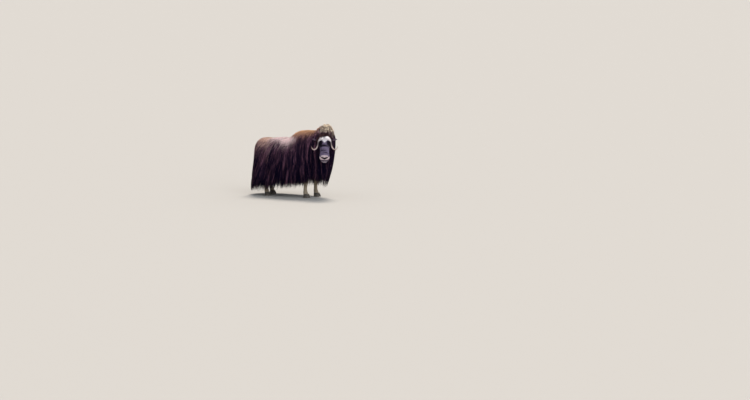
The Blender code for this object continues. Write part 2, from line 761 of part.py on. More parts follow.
# Rounded clumps of wool on the crown, behind the horns: a, b, c, radius
CROWN_CLUMPS = (
    (-0.026, 0.000, 0.062, 0.054),
    (-0.020, 0.056, 0.054, 0.050),
    (-0.004, 0.090, 0.038, 0.042),
)


def face_forms():
    """What stands out of the skull: orbits, brows, lids, nostril wings, lips, chin and crown."""
    turn = HEAD_FRAME.to_3x3()
    forms = []
    for side in (1, -1):
        look, nose, _ = gaze_axes(side)
        eye = np.array(EYE_AT) * (1, side, 1)
        forms.append(ball("orbit", on_head(eye - look * 0.016), (0.040, 0.032, 0.032), turn, 10, 7))
        brow = on_head(eye - look * 0.010 - nose * 0.030)
        forms.append(ball("brow", brow, (0.028, 0.026, 0.022), turn, 8, 5))
        wing = on_head((0.452, 0.052 * side, 0.010))
        forms.append(ball("wing", wing, (0.042, 0.036, 0.030), turn, 10, 7))
        lip = on_head((0.466, 0.050 * side, -0.034))
        forms.append(ball("lip", lip, (0.032, 0.046, 0.020), turn, 10, 6))
        forms.append(eyelid("upper_lid", side, 1))
        forms.append(eyelid("lower_lid", side, -1))
    forms.append(ball("chin", on_head((0.464, 0.0, -0.092)), (0.036, 0.060, 0.032), turn, 10, 6))
    for a, b, c, radius in CROWN_CLUMPS:
        for across in sorted({b, -b}):
            clump = on_head((a, across, c))
            forms.append(ball("crown", clump, (radius, radius * 0.85, radius * 0.8), turn, 8, 6))
    return forms


def make_head():
    head = skull("head")
    apply_boolean(head, "UNION", face_forms())
    turn = HEAD_FRAME.to_3x3()
    cutters = [mouth_cutter("mouth")]
    for side in (1, -1):
        cutters.append(ball("socket", socket_centre(side), (EYE_RADIUS + GAP,) * 3, turn, 12, 8))
        cutters.append(nostril_cutter("nostril", side))
    for cutter in cutters:
        apply_boolean(head, "DIFFERENCE", [cutter])
    apply_boolean(head, "UNION", head_locks() + forehead_locks())
    apply_boolean(head, "INTERSECT", [head_space("space", GAP)])
    for side in (1, -1):
        apply_boolean(head, "DIFFERENCE", [horn("horn_cut", side, GAP)])
        apply_boolean(head, "DIFFERENCE", [ear_root("ear_cut", side, EAR_STEPS[:5])])
    head.data.materials.append(finish(COAT_FACE))
    return largest_body(head)


def horn(name, side, grow=0.0, kind=None):
    """A horn: a broad flat boss on the forehead that turns into a round, hooked horn."""
    keys = np.linspace(0, 1, len(HORN))
    s = np.linspace(0, 1, 13)
    rows = cubic(keys, HORN, s)
    path = rows[:, :3]
    along = unit(np.gradient(path, axis=0))
    rings, wide = [], np.array((1.0, 0.0, 0.0))
    for i, (point, way) in enumerate(zip(path, along)):
        wide = unit(wide - way * wide.dot(way))
        thin = np.cross(way, wide)
        turn = np.arange(10)[:, None] * 2 * math.pi / 10
        half, thick = rows[i, 3] + grow, rows[i, 4] + grow
        rings.append(point + np.cos(turn) * wide * half + np.sin(turn) * thin * thick)
    rings = np.array(rings)
    if grow:
        rings[0] -= along[0] * grow
        rings[-1] += along[-1] * grow
    rings[..., 1] *= side
    return loft(name, on_head(rings), kind)


# ---------------------------------------------------------------- ears and eyes
def ear_section(s, side):
    """Centre of an ear's section, its half width, the depth of its cup, and its axes."""
    a, b, c = EAR_AT
    half = (0.014 + 0.026 * math.sin(min(s * 1.25, 1.0) * math.pi * 0.78)) * (1 - s**4) + 0.003
    cup = 0.016 * math.sin(min(s * 1.1, 1) * math.pi)
    centre = np.array((a - 0.030 * s + 0.020 * s * s, (b - 0.030 + 0.150 * s) * side, c + 0.010 * s))
    across = unit(np.array((1.0, 0.25 * side, 0.0)))
    return centre, half, cup, across


def make_ear(name, side):
    """An ear: a leaf with a hollow cup that opens forwards."""
    rings = []
    for s in EAR_STEPS:
        centre, half, cup, across = ear_section(s, side)
        turn = np.linspace(-1, 1, 6)
        front = np.stack([half * turn, -cup * (1 - turn**2) + 0.002], -1)
        back = np.stack([half * turn[::-1], -(cup + 0.008) * (1 - turn[::-1] ** 2) - 0.002], -1)
        ring = np.concatenate([front, back])
        rings.append(centre + ring[:, :1] * across + ring[:, 1:] * (0.0, 0.0, 1.0))
    return loft(name, on_head(np.array(rings)), COAT_FACE)


def ear_root(name, side, steps):
    """The pocket that an ear stands in, through the sections given."""
    rings = []
    for s in steps:
        centre, half, cup, across = ear_section(s, side)
        wide = across * (half + 0.001)
        front = centre + (0.0, 0.0, 0.002 + GAP)
        back = centre - (0.0, 0.0, cup + 0.010 + GAP)
        rings.append([front + wide, front - wide, back - wide, back + wide])
    rings = np.array(rings)
    rings[0] -= np.array((0.0, GAP * side, 0.0))
    return loft(name, on_head(rings))


def make_eye(name, side):
    eye = ball(name, socket_centre(side), (EYE_RADIUS,) * 3, HEAD_FRAME.to_3x3(), 12, 8)
    eye.data.materials.append(finish(EYE_DARK))
    return eye


# ---------------------------------------------------------------- legs, hooves, tail
def make_leg(name, rows, side):
    """A leg down to the coronet, trimmed where it enters the belly."""
    keys = np.linspace(0, 1, len(rows))
    at = cubic(keys, rows, np.linspace(0, 1, 12))
    at[:, 0] += STRIDE[name] * ease((rows[0, 2] - at[:, 2]) / 0.5)
    turn = np.arange(10)[:, None] * 2 * math.pi / 10
    rings = [
        np.array((x, y * side, z)) + np.cos(turn) * (depth, 0, 0) + np.sin(turn) * (0, width, 0)
        for x, y, z, depth, width in at
    ]
    leg = loft(name, rings)
    apply_boolean(leg, "DIFFERENCE", [core_body("belly", GAP)])
    floor = block("under", (-2, -2, -1), (2, 2, HOOF_TOP + GAP))
    apply_boolean(leg, "DIFFERENCE", [floor])
    leg.data.materials.append(finish(STOCKING))
    return largest_body(leg)


# height of a toe's section, its size as a share, and how far back it lies
TOE_RINGS = (
    (0.0, 0.94, 0.0),
    (0.008, 1.0, 0.0),
    (0.035, 0.93, -0.006),
    (HOOF_TOP + 0.008, 0.70, -0.016),
)


def make_hoof(name, foot, scale):
    """A broad cloven hoof: two toes with flat soles, joined under the coronet."""
    x, y = foot
    turn = np.arange(10) * 2 * math.pi / 10
    pieces = []
    for toe in (1, -1):
        rings = []
        for z, grow, back in TOE_RINGS:
            length = np.where(np.cos(turn) > 0, 0.068, 0.052) * grow * scale
            width = 0.031 * grow * scale
            inward = toe * 0.006 * np.maximum(np.cos(turn), 0)
            px = x + 0.006 + back + np.cos(turn) * length
            py = y + toe * 0.034 * scale + np.sin(turn) * width - inward
            rings.append(np.stack([px, py, np.full(10, z)], -1))
        pieces.append(loft(f"toe_{toe}", rings))
    heel = (0.034 * scale, 0.046 * scale, 0.032)
    pieces.append(ball("heel", (x - 0.022 * scale, y, 0.040), heel, None, 8, 6))
    hoof = pieces[0]
    hoof.name = name
    apply_boolean(hoof, "UNION", pieces[1:])
    top = block("above", (-2, -2, HOOF_TOP), (2, 2, 1))
    apply_boolean(hoof, "DIFFERENCE", [top])
    hoof.data.materials.append(finish(HOOF_DARK))
    return largest_body(hoof)


TAIL_FALL = np.linspace(0.62, 0.05, 60)
TAIL_FALL_Z = core(np.full(60, 3.5), TAIL_FALL)[:, 2]


def tail_rings(grow):
    """The short tail, lying flat on the rump under the long hair."""
    turn = np.arange(10) * 2 * math.pi / 10
    rings = []
    for s in np.linspace(0, 1, 7):
        z = TAIL_ROOT_Z - 0.155 * s
        fall = float(np.interp(z, TAIL_FALL_Z, TAIL_FALL))
        centre = core(3.5, fall) - np.array((0.012 + 0.006 * s, 0, 0))
        half = (0.030 + 0.012 * math.sin(s * math.pi)) * (1 - s**6 * 0.75) + grow
        thick = 0.016 * (1 - 0.6 * s**4) + grow
        x = centre[0] + np.cos(turn) * thick
        rings.append(np.stack([x, np.sin(turn) * half, np.full(10, centre[2])], -1))
    rings = np.array(rings)
    if grow:
        rings[0, :, 2] += grow
        rings[-1, :, 2] -= grow
    return rings


def make_tail():
    return loft("tail", tail_rings(0.0), COAT_BROWN)


def make_torso():
    front = lap_of_x(SHOULDER_PLANE)
    ranges = {1: [(-0.5, front - 0.01)], -1: [(3 - front + 0.01, 3.5)]}
    for name, side in (("torso_left", 1), ("torso_right", -1)):
        body = half_torso(name, side, ranges[side], 3 if side > 0 else 5)
        apply_boolean(body, "DIFFERENCE", [loft("tail_cut", tail_rings(GAP))])
        body.data.materials.append(finish(COAT_BROWN))
        largest_body(body)


def settle(objects):
    """Moves everything so that the origin is on the floor, under the middle of the model."""
    corners = np.concatenate(
        [np.array([v.co for v in obj.data.vertices]) for obj in objects]
    )
    low, high = corners.min(0), corners.max(0)
    move = Vector((-(low[0] + high[0]) / 2, -(low[1] + high[1]) / 2, -low[2]))
    for obj in objects:
        obj.data.transform(Matrix.Translation(move))
        obj.data.set_sharp_from_angle(angle=math.radians(40))
    print("moved by", [round(v, 5) for v in move])


def main():
    for obj in list(bpy.data.objects):
        bpy.data.objects.remove(obj)
    group = bpy.data.collections.new("muskox")
    bpy.context.scene.collection.children.link(group)
    make_torso()
    make_neck()
    make_head()
    make_tail()
    for side, word in ((1, "left"), (-1, "right")):
        horn(f"horn_{word}", side, 0.0, HORN_PALE)
        make_ear(f"ear_{word}", side)
        make_eye(f"eye_{word}", side)
        for kind, rows, scale in (("foreleg", FORELEG, 1.0), ("hindleg", HINDLEG, 0.90)):
            name = f"{kind}_{word}"
            make_leg(name, rows, side)
            foot = (rows[-1, 0] + STRIDE[name] + 0.006, rows[-1, 1] * side)
            hoof = "forehoof" if kind == "foreleg" else "hindhoof"
            make_hoof(f"{hoof}_{word}", foot, scale)
    settle(list(group.objects))


main()
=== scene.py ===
import math

import bmesh
import bpy
import numpy as np
from mathutils import Matrix, Vector


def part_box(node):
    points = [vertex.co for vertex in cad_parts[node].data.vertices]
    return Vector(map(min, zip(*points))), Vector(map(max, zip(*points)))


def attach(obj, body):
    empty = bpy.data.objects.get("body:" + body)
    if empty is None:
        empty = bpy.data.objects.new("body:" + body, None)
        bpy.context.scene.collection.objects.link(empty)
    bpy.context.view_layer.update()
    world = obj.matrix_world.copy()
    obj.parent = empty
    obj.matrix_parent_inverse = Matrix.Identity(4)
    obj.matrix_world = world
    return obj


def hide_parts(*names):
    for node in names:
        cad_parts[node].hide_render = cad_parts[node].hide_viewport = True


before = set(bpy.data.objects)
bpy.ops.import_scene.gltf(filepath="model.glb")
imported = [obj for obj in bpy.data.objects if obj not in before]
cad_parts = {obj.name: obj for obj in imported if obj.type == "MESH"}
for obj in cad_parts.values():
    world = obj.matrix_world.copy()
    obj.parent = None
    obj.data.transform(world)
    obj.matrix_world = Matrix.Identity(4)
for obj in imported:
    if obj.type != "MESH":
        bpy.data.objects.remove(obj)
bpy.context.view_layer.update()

# ---------------------------------------------------------------- sizes shared with the solids
# Stations along the spine, from croup to poll: x, y of the ridge; height of the crest;
# half width; height of the widest line; height of the hem; half width at the hem;
# height of the belly; squareness of the back's cross section.
SPINE = np.array([
    (-0.50, 0.000, 1.125, 0.345, 0.760, 0.125, 0.380, 0.500, 2.6),
    (-0.28, 0.000, 1.148, 0.375, 0.740, 0.150, 0.390, 0.480, 2.4),
    (-0.06, 0.000, 1.152, 0.385, 0.730, 0.180, 0.385, 0.470, 2.3),
    (0.17, 0.000, 1.292, 0.378, 0.750, 0.205, 0.365, 0.470, 2.3),
    (0.40, -0.004, 1.314, 0.345, 0.830, 0.235, 0.290, 0.480, 2.3),
    (0.54, -0.012, 1.324, 0.290, 0.960, 0.250, 0.185, 0.490, 2.1),
    (0.725, -0.030, 1.430, 0.195, 1.100, 0.260, 0.080, 0.520, 1.9),
])
CREST, HALF, WIDE, HEM, HEM_HALF, BELLY, POWER = range(2, 9)
REAR_END = {HALF: 0.350, WIDE: 0.760, HEM: 0.110, HEM_HALF: 0.440, POWER: 3.1}
FRONT_END = {HALF: 0.206, WIDE: 1.120, HEM: 0.260, HEM_HALF: 0.030, POWER: 1.85}
BELLY_POWER = (2.4, 1.5)
CORE_DEPTH = 0.060
CREST_DEPTH = 0.014

# The head's own frame: a runs from poll to nose, b to the animal's left, c out of the face.
HEAD_AT = np.array((0.785, -0.155, 1.168))
HEAD_TURN = math.radians(-60)
HEAD_DROP = math.radians(42)
# a, half width, dorsal c, ventral c, c of the widest line, squareness
SKULL = np.array([
    (-0.075, 0.050, 0.020, -0.070, -0.020, 2.0),
    (-0.045, 0.088, 0.062, -0.115, -0.010, 2.1),
    (0.010, 0.106, 0.090, -0.150, -0.005, 2.2),
    (0.075, 0.112, 0.096, -0.162, 0.000, 2.5),
    (0.140, 0.105, 0.092, -0.160, 0.000, 2.7),
    (0.210, 0.096, 0.080, -0.145, -0.005, 2.7),
    (0.290, 0.090, 0.067, -0.122, -0.012, 2.7),
    (0.370, 0.091, 0.058, -0.106, -0.018, 2.7),
    (0.430, 0.098, 0.052, -0.104, -0.022, 2.7),
    (0.468, 0.096, 0.038, -0.102, -0.024, 2.6),
    (0.492, 0.076, 0.020, -0.090, -0.028, 2.4),
    (0.503, 0.046, 0.000, -0.066, -0.030, 2.2),
])
MOUTH_C = -0.058
EYE_AT = np.array((0.138, 0.085, 0.060))
EYE_RADIUS = 0.0195
GAZE = (0.16, 0.80, 0.58)
EAR_AT = (0.020, 0.112, -0.005)
NOSTRIL = np.array([
    (0.468, 0.070, 0.012), (0.484, 0.052, 0.003), (0.498, 0.031, -0.004), (0.508, 0.011, -0.010),
])
# Horn centre line as (a, b, c), with its half width along a and its half thickness
HORN = np.array([
    (0.070, 0.016, 0.090, 0.040, 0.018),
    (0.068, 0.043, 0.099, 0.043, 0.021),
    (0.068, 0.070, 0.092, 0.039, 0.023),
    (0.077, 0.097, 0.064, 0.027, 0.019),
    (0.101, 0.118, 0.024, 0.0175, 0.0165),
    (0.146, 0.130, -0.006, 0.0140, 0.0136),
    (0.200, 0.143, -0.014, 0.0128, 0.0124),
    (0.253, 0.169, -0.012, 0.0117, 0.0114),
    (0.281, 0.208, -0.002, 0.0102, 0.0102),
    (0.268, 0.241, 0.022, 0.0076, 0.0076),
    (0.240, 0.255, 0.052, 0.0024, 0.0024),
])
# Legs from the belly down: x, y, z, fore-and-aft half depth, half width
FORELEG = np.array([
    (0.350, 0.155, 0.640, 0.100, 0.085),
    (0.365, 0.160, 0.500, 0.082, 0.068),
    (0.372, 0.160, 0.370, 0.056, 0.050),
    (0.374, 0.160, 0.310, 0.052, 0.050),
    (0.368, 0.160, 0.230, 0.036, 0.037),
    (0.366, 0.160, 0.150, 0.036, 0.038),
    (0.372, 0.160, 0.105, 0.044, 0.045),
    (0.386, 0.160, 0.050, 0.046, 0.048),
])
HINDLEG = np.array([
    (-0.470, 0.150, 0.680, 0.135, 0.090),
    (-0.510, 0.158, 0.560, 0.105, 0.075),
    (-0.580, 0.160, 0.440, 0.062, 0.048),
    (-0.612, 0.160, 0.370, 0.052, 0.042),
    (-0.600, 0.160, 0.300, 0.040, 0.036),
    (-0.580, 0.160, 0.180, 0.036, 0.036),
    (-0.566, 0.160, 0.110, 0.043, 0.043),
    (-0.550, 0.160, 0.050, 0.045, 0.046),
])
STRIDE = {  # how far each foot is ahead of its own place
    "foreleg_left": 0.030, "foreleg_right": -0.015, "hindleg_left": -0.035, "hindleg_right": 0.040,
}
HOOF_TOP = 0.068
SKIN_INSET = 0.002  # the skin lies this far inside the solids' core


# ---------------------------------------------------------------- small tools
def cubic(keys, values, at):
    """A smooth curve through values at keys, read at one place or many."""
    keys = np.asarray(keys, float)
    values = np.asarray(values, float)
    if values.ndim == 1:
        return cubic(keys, values[:, None], at)[..., 0]
    slope = np.gradient(values, keys, axis=0)
    at = np.clip(np.asarray(at, float), keys[0], keys[-1])
    i = np.clip(np.searchsorted(keys, at, side="right") - 1, 0, len(keys) - 2)
    width = keys[i + 1] - keys[i]
    s = ((at - keys[i]) / width)[..., None]
    width = width[..., None]
    return (
        values[i] * (1 + 2 * s) * (1 - s) ** 2
        + values[i + 1] * s * s * (3 - 2 * s)
        + slope[i] * width * s * (1 - s) ** 2
        - slope[i + 1] * width * s * s * (1 - s)
    )


def evenly(rows, at):
    """A smooth curve through evenly spaced rows, read from 0 at the first to 1 at the last."""
    return cubic(np.linspace(0, 1, len(rows)), rows, at)


def unit(v):
    return v / np.maximum(np.linalg.norm(v, axis=-1, keepdims=True), 1e-9)


def ease(s):
    s = np.clip(s, 0.0, 1.0)
    return s * s * (3 - 2 * s)


def bump(x, low, high, soft):
    """1 between low and high, falling smoothly to 0 over soft on either side."""
    return ease((x - low) / soft + 1) * ease((high - x) / soft + 1)


def mottle(points, size):
    """Uneven rounded patches about size metres across, from 0 to 1."""
    x, y, z = np.moveaxis(points * (2 * math.pi / size), -1, 0)
    wave = np.sin(x + 1.9 * np.sin(0.7 * y + 0.4)) + np.sin(y + 2.1 * np.sin(0.8 * z + 1.1))
    wave = wave + np.sin(z + 1.7 * np.sin(0.6 * x + 2.3))
    return ease(0.5 + wave / 3.6)


def head_axes():
    facing = np.array((math.cos(HEAD_TURN), math.sin(HEAD_TURN), 0.0))
    up = np.array((0.0, 0.0, 1.0))
    a = facing * math.cos(HEAD_DROP) - up * math.sin(HEAD_DROP)
    c = facing * math.sin(HEAD_DROP) + up * math.cos(HEAD_DROP)
    return np.stack([a, np.cross(c, a), c], 1)


HEAD_AXES = head_axes()
DOWN = np.array((0.0, 0.0, -1.0))


def from_head(points):
    return np.asarray(points, float) @ HEAD_AXES.T + HEAD_AT


def to_head(points):
    return (np.asarray(points, float) - HEAD_AT) @ HEAD_AXES


def on_head(points):
    """The a, b and c of points in the head's own frame."""
    return np.moveaxis(to_head(points), -1, 0)


def columns(*values):
    """Numbers and arrays side by side along a new last axis."""
    return np.stack(np.broadcast_arrays(*values), -1)


def mirrored(place, side):
    """A place on the head's left for side 1, and its twin on the right for side -1."""
    return np.array(place) * columns(1, side, 1)


# The sizes above have a frame of their own, and SHIFT moves it to the solids' frame
EYE_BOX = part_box("eye_left")
SHIFT = np.array((EYE_BOX[0] + EYE_BOX[1]) / 2) - from_head(EYE_AT)


# ---------------------------------------------------------------- the coat's surface
RIDGE_KEYS = np.concatenate(
    [[0.0], np.cumsum(np.linalg.norm(np.diff(SPINE[:, :2], axis=0), axis=1))]
)
RIDGE_KEYS = RIDGE_KEYS / RIDGE_KEYS[-1]  # 0 at the croup, 1 at the poll


def places(lap):
    """Ridge point, outward direction and coat sizes for laps round the body.

    Lap 0 to 1 runs up the left side from croup to poll, 1 to 2 round the chest,
    2 to 3 back down the right side, and 3 to 4 round the rump.
    """
    lap = np.mod(np.asarray(lap, float), 4.0)
    side = np.floor(lap).astype(int)
    part = lap - side
    along = np.select([side == 0, side == 1, side == 2], [part, 1.0, 1 - part], 0.0)
    rows = cubic(RIDGE_KEYS, SPINE, along)
    ahead = cubic(RIDGE_KEYS, SPINE[:, :2], np.minimum(along + 0.01, 1.0))
    behind = cubic(RIDGE_KEYS, SPINE[:, :2], np.maximum(along - 0.01, 0.0))
    forward = unit(ahead - behind)
    left = np.stack([-forward[..., 1], forward[..., 0]], -1)
    turn = part * math.pi
    swing = np.cos(turn)[..., None] * left + np.sin(turn)[..., None] * forward
    back = -np.cos(turn)[..., None] * left - np.sin(turn)[..., None] * forward
    s = side[..., None]
    outward = np.where(s == 0, left, np.where(s == 1, swing, np.where(s == 2, -left, back)))
    share = np.sin(turn) ** 2
    for number, end in ((1, FRONT_END), (3, REAR_END)):
        for column, value in end.items():
            mixed = rows[..., column] * (1 - share) + value * share
            rows[..., column] = np.where(side == number, mixed, rows[..., column])
    chest = np.where(side == 1, 1.0, np.where(side == 3, 0.0, ease((along - 0.75) / 0.25)))
    return rows, outward, chest


def ridge_point(rows, outward, radius, height):
    flat = rows[..., :2] + outward * radius[..., None]
    return np.concatenate([flat, height[..., None]], -1)


def coat(lap, fall):
    """A point of the outer coat: fall 0 is the crest, 0.5 the widest line and 1 the hem."""
    lap, fall = np.broadcast_arrays(np.asarray(lap, float), np.asarray(fall, float))
    rows, outward, chest = places(lap)
    angle = np.clip(fall, 0, 0.5) * math.pi
    hang = np.clip((fall - 0.5) / 0.5, 0, 1.2)
    radius = rows[..., HALF] * np.sin(angle) ** (2 / rows[..., POWER])
    rise = rows[..., CREST] - rows[..., WIDE]
    height = rows[..., WIDE] + rise * np.abs(np.cos(angle)) ** (2 / rows[..., POWER])
    radius = radius + (rows[..., HEM_HALF] - rows[..., HALF]) * hang ** (1 + chest)
    drop = rows[..., WIDE] - (rows[..., WIDE] - rows[..., HEM]) * hang
    return ridge_point(rows, outward, radius, np.where(fall > 0.5, drop, height))


def coat_normal(lap, fall):
    """The way out of the coat's surface, from its slopes along the two directions."""
    fall = np.maximum(fall, 0.03)
    round_it = coat(lap + 0.004, fall) - coat(lap - 0.004, fall)
    down_it = coat(lap, fall + 0.01) - coat(lap, fall - 0.01)
    return unit(np.cross(round_it, down_it))


def core(lap, fall, grow=0.0):
    """A point of the core: fall 0 is the crest, 0.5 the widest line, 1 the belly."""
    lap, fall = np.broadcast_arrays(np.asarray(lap, float), np.asarray(fall, float))
    rows, outward, chest = places(lap)
    over = np.clip(fall, 0, 0.5) * math.pi
    under = np.clip(fall - 0.5, 0, 0.5) * math.pi
    half = rows[..., HALF] - CORE_DEPTH + grow
    crest = rows[..., CREST] - CREST_DEPTH + grow - rows[..., WIDE]
    belly = rows[..., WIDE] - rows[..., BELLY] + grow
    power = BELLY_POWER[0] + (BELLY_POWER[1] - BELLY_POWER[0]) * chest
    top = fall <= 0.5
    radius = np.where(
        top,
        half * np.sin(over) ** (2 / rows[..., POWER]),
        half * np.abs(np.cos(under)) ** (2 / power),
    )
    height = np.where(
        top,
        crest * np.abs(np.cos(over)) ** (2 / rows[..., POWER]),
        -belly * np.sin(under) ** (2 / power),
    )
    return ridge_point(rows, outward, radius, rows[..., WIDE] + height)


def core_beside(lap, height):
    """The point of the core's underside at a height, as far down as it reaches."""
    rows, _, chest = places(lap)
    power = BELLY_POWER[0] + (BELLY_POWER[1] - BELLY_POWER[0]) * chest
    reach = rows[..., WIDE] - rows[..., BELLY]
    share = np.clip((rows[..., WIDE] - height) / reach, 0, 0.90)
    return core(lap, 0.5 + np.arcsin(share ** (power / 2)) / math.pi)


def outline_lengths():
    laps = np.linspace(0, 4, 1601)
    rows, outward, _ = places(laps)
    flat = rows[:, :2] + outward * rows[:, HALF, None]
    steps = np.linalg.norm(np.diff(flat, axis=0), axis=1)
    return laps, np.concatenate([[0.0], np.cumsum(steps)])


LAPS, ROUND = outline_lengths()  # laps, and metres round the body's outline
ROUND_ALL = ROUND[-1]


def lap_at(metres):
    return np.interp(np.mod(metres, ROUND_ALL), ROUND, LAPS)


def metres_at(lap):
    return np.interp(lap, LAPS, ROUND)


# ---------------------------------------------------------------- meshes
def link(name, mesh):
    obj = bpy.data.objects.new(name, mesh)
    bpy.context.scene.collection.objects.link(obj)
    return obj


def mesh_of(name, points, faces):
    mesh = bpy.data.meshes.new(name)
    mesh.from_pydata([tuple(p) for p in np.asarray(points, float)], [], faces)
    return mesh


def tidy(obj, merge=1e-5):
    """Merges doubled points and turns the faces outwards."""
    work = bmesh.new()
    work.from_mesh(obj.data)
    bmesh.ops.remove_doubles(work, verts=work.verts, dist=merge)
    bmesh.ops.dissolve_degenerate(work, edges=work.edges, dist=1e-6)
    bmesh.ops.triangulate(work, faces=[f for f in work.faces if len(f.verts) > 4])
    bmesh.ops.recalc_face_normals(work, faces=work.faces)
    work.to_mesh(obj.data)
    work.free()
    return obj


def around(count):
    """Angles that divide a full turn."""
    return np.arange(count) * 2 * math.pi / count


def loft(name, rings):
    """A closed skin over rings of equal point count, each end drawn to its middle."""
    rings = np.asarray(rings, float)
    count, sides = rings.shape[:2]
    points = [*rings.reshape(-1, 3), rings[0].mean(0), rings[-1].mean(0)]
    foot, top = count * sides, count * sides + 1
    last = (count - 1) * sides
    faces = []
    for j in range(sides):
        k = (j + 1) % sides
        faces.append((foot, k, j))
        faces.append((top, last + j, last + k))
        for i in range(count - 1):
            a, b = i * sides, (i + 1) * sides
            faces.append((a + j, a + k, b + k, b + j))
    return tidy(link(name, mesh_of(name, points, faces)))


def ball(name, centre, radii, segments=24, rings=16):
    work = bmesh.new()
    bmesh.ops.create_uvsphere(work, u_segments=segments, v_segments=rings, radius=1.0)
    place = Matrix.Translation(Vector(centre)) @ Matrix.Diagonal((*radii, 1.0))
    bmesh.ops.transform(work, matrix=place, verts=work.verts)
    mesh = bpy.data.meshes.new(name)
    work.to_mesh(mesh)
    work.free()
    return link(name, mesh)


def tube(name, path, radii, sides=10):
    """A round tube along a path, with a radius at each point."""
    path = np.asarray(path, float)
    radii = np.broadcast_to(radii, (len(path),))
    along = unit(np.gradient(path, axis=0))
    start = np.array((0.0, 0.0, 1.0)) if abs(along[0][2]) < 0.8 else np.array((1.0, 0.0, 0.0))
    side = unit(np.cross(along[0], start))
    turn = around(sides)[:, None]
    rings = []
    for point, way, radius in zip(path, along, radii):
        side = unit(side - way * side.dot(way))
        rings.append(point + radius * (np.cos(turn) * side + np.sin(turn) * np.cross(way, side)))
    return loft(name, rings)


def run_modifier(obj, kind, **settings):
    """Adds a modifier with its settings and turns its result into the object's mesh."""
    modifier = obj.modifiers.new("work", kind)
    for key, value in settings.items():
        setattr(modifier, key, value)
    bpy.context.view_layer.update()
    graph = bpy.context.evaluated_depsgraph_get()
    made = bpy.data.meshes.new_from_object(obj.evaluated_get(graph))
    obj.modifiers.clear()
    obj.data = made
    return obj


def combine(obj, operation, others):
    """One Boolean of obj with all the others, which are then removed."""
    group = bpy.data.collections.new("operands")
    for other in others:
        group.objects.link(other)
    settings = {"solver": "MANIFOLD", "operand_type": "COLLECTION", "collection": group}
    run_modifier(obj, "BOOLEAN", operation=operation, **settings)
    for other in others:
        bpy.data.objects.remove(other)
    bpy.data.collections.remove(group)
    return obj


def triples(items, key):
    """Three numbers of each item of a mesh."""
    flat = np.empty(len(items) * 3, np.float32)
    items.foreach_get(key, flat)
    return flat.reshape(-1, 3).astype(float)


def coordinates(mesh):
    return triples(mesh.vertices, "co")


def set_coordinates(mesh, points):
    mesh.vertices.foreach_set("co", np.asarray(points, np.float32).ravel())
    mesh.update()


def smooth(mesh):
    mesh.polygons.foreach_set("use_smooth", np.ones(len(mesh.polygons), bool))


def point_attribute(mesh, name, values, kind="FLOAT", key="value"):
    made = mesh.attributes.new(name, kind, "POINT")
    made.data.foreach_set(key, np.asarray(values, np.float32).ravel())


def mask_attribute(mesh, values):
    """Three masks kept together as one colour attribute."""
    four = np.ones((len(values), 4), np.float32)
    four[:, :3] = values
    point_attribute(mesh, "marks", four, "FLOAT_COLOR", "color")


def ring_quads(rings, sides):
    """Faces between rings of points that follow each other."""
    corners = [(i * sides, j, (j + 1) % sides) for i in range(rings - 1) for j in range(sides)]
    return [(i + j, i + k, i + sides + k, i + sides + j) for i, j, k in corners]


# ---------------------------------------------------------------- markings
def mouth_line(b):
    """Height of the mouth on the head, which hangs a little at the sides."""
    return MOUTH_C - 0.012 * (b / 0.07) ** 2


def pale_from(b):
    """How far down the forehead the pale wool starts: lowest in a notch near the middle."""
    return 0.022 + 0.020 * np.exp(-(((b + 0.010) / 0.010) ** 2)) + 0.010 * ease(-b / 0.02)


def nose_gap(a, side, c):
    """How far a point is outside the bare skin of the nostrils and of the strip between them."""
    path = evenly(NOSTRIL, np.linspace(0, 1, 9))
    spots = np.concatenate([path, [(0.506, 0.0, -0.013), (0.508, 0.0, -0.023), (0.508, 0.0, -0.031)]])
    reach = np.concatenate([np.linspace(0.0150, 0.0215, 9), (0.0215, 0.0190, 0.0120)])
    gap = (a[..., None] - spots[:, 0]) ** 2 + (side[..., None] - spots[:, 1]) ** 2
    return (np.sqrt(gap + (c[..., None] - spots[:, 2]) ** 2) - reach).min(-1)


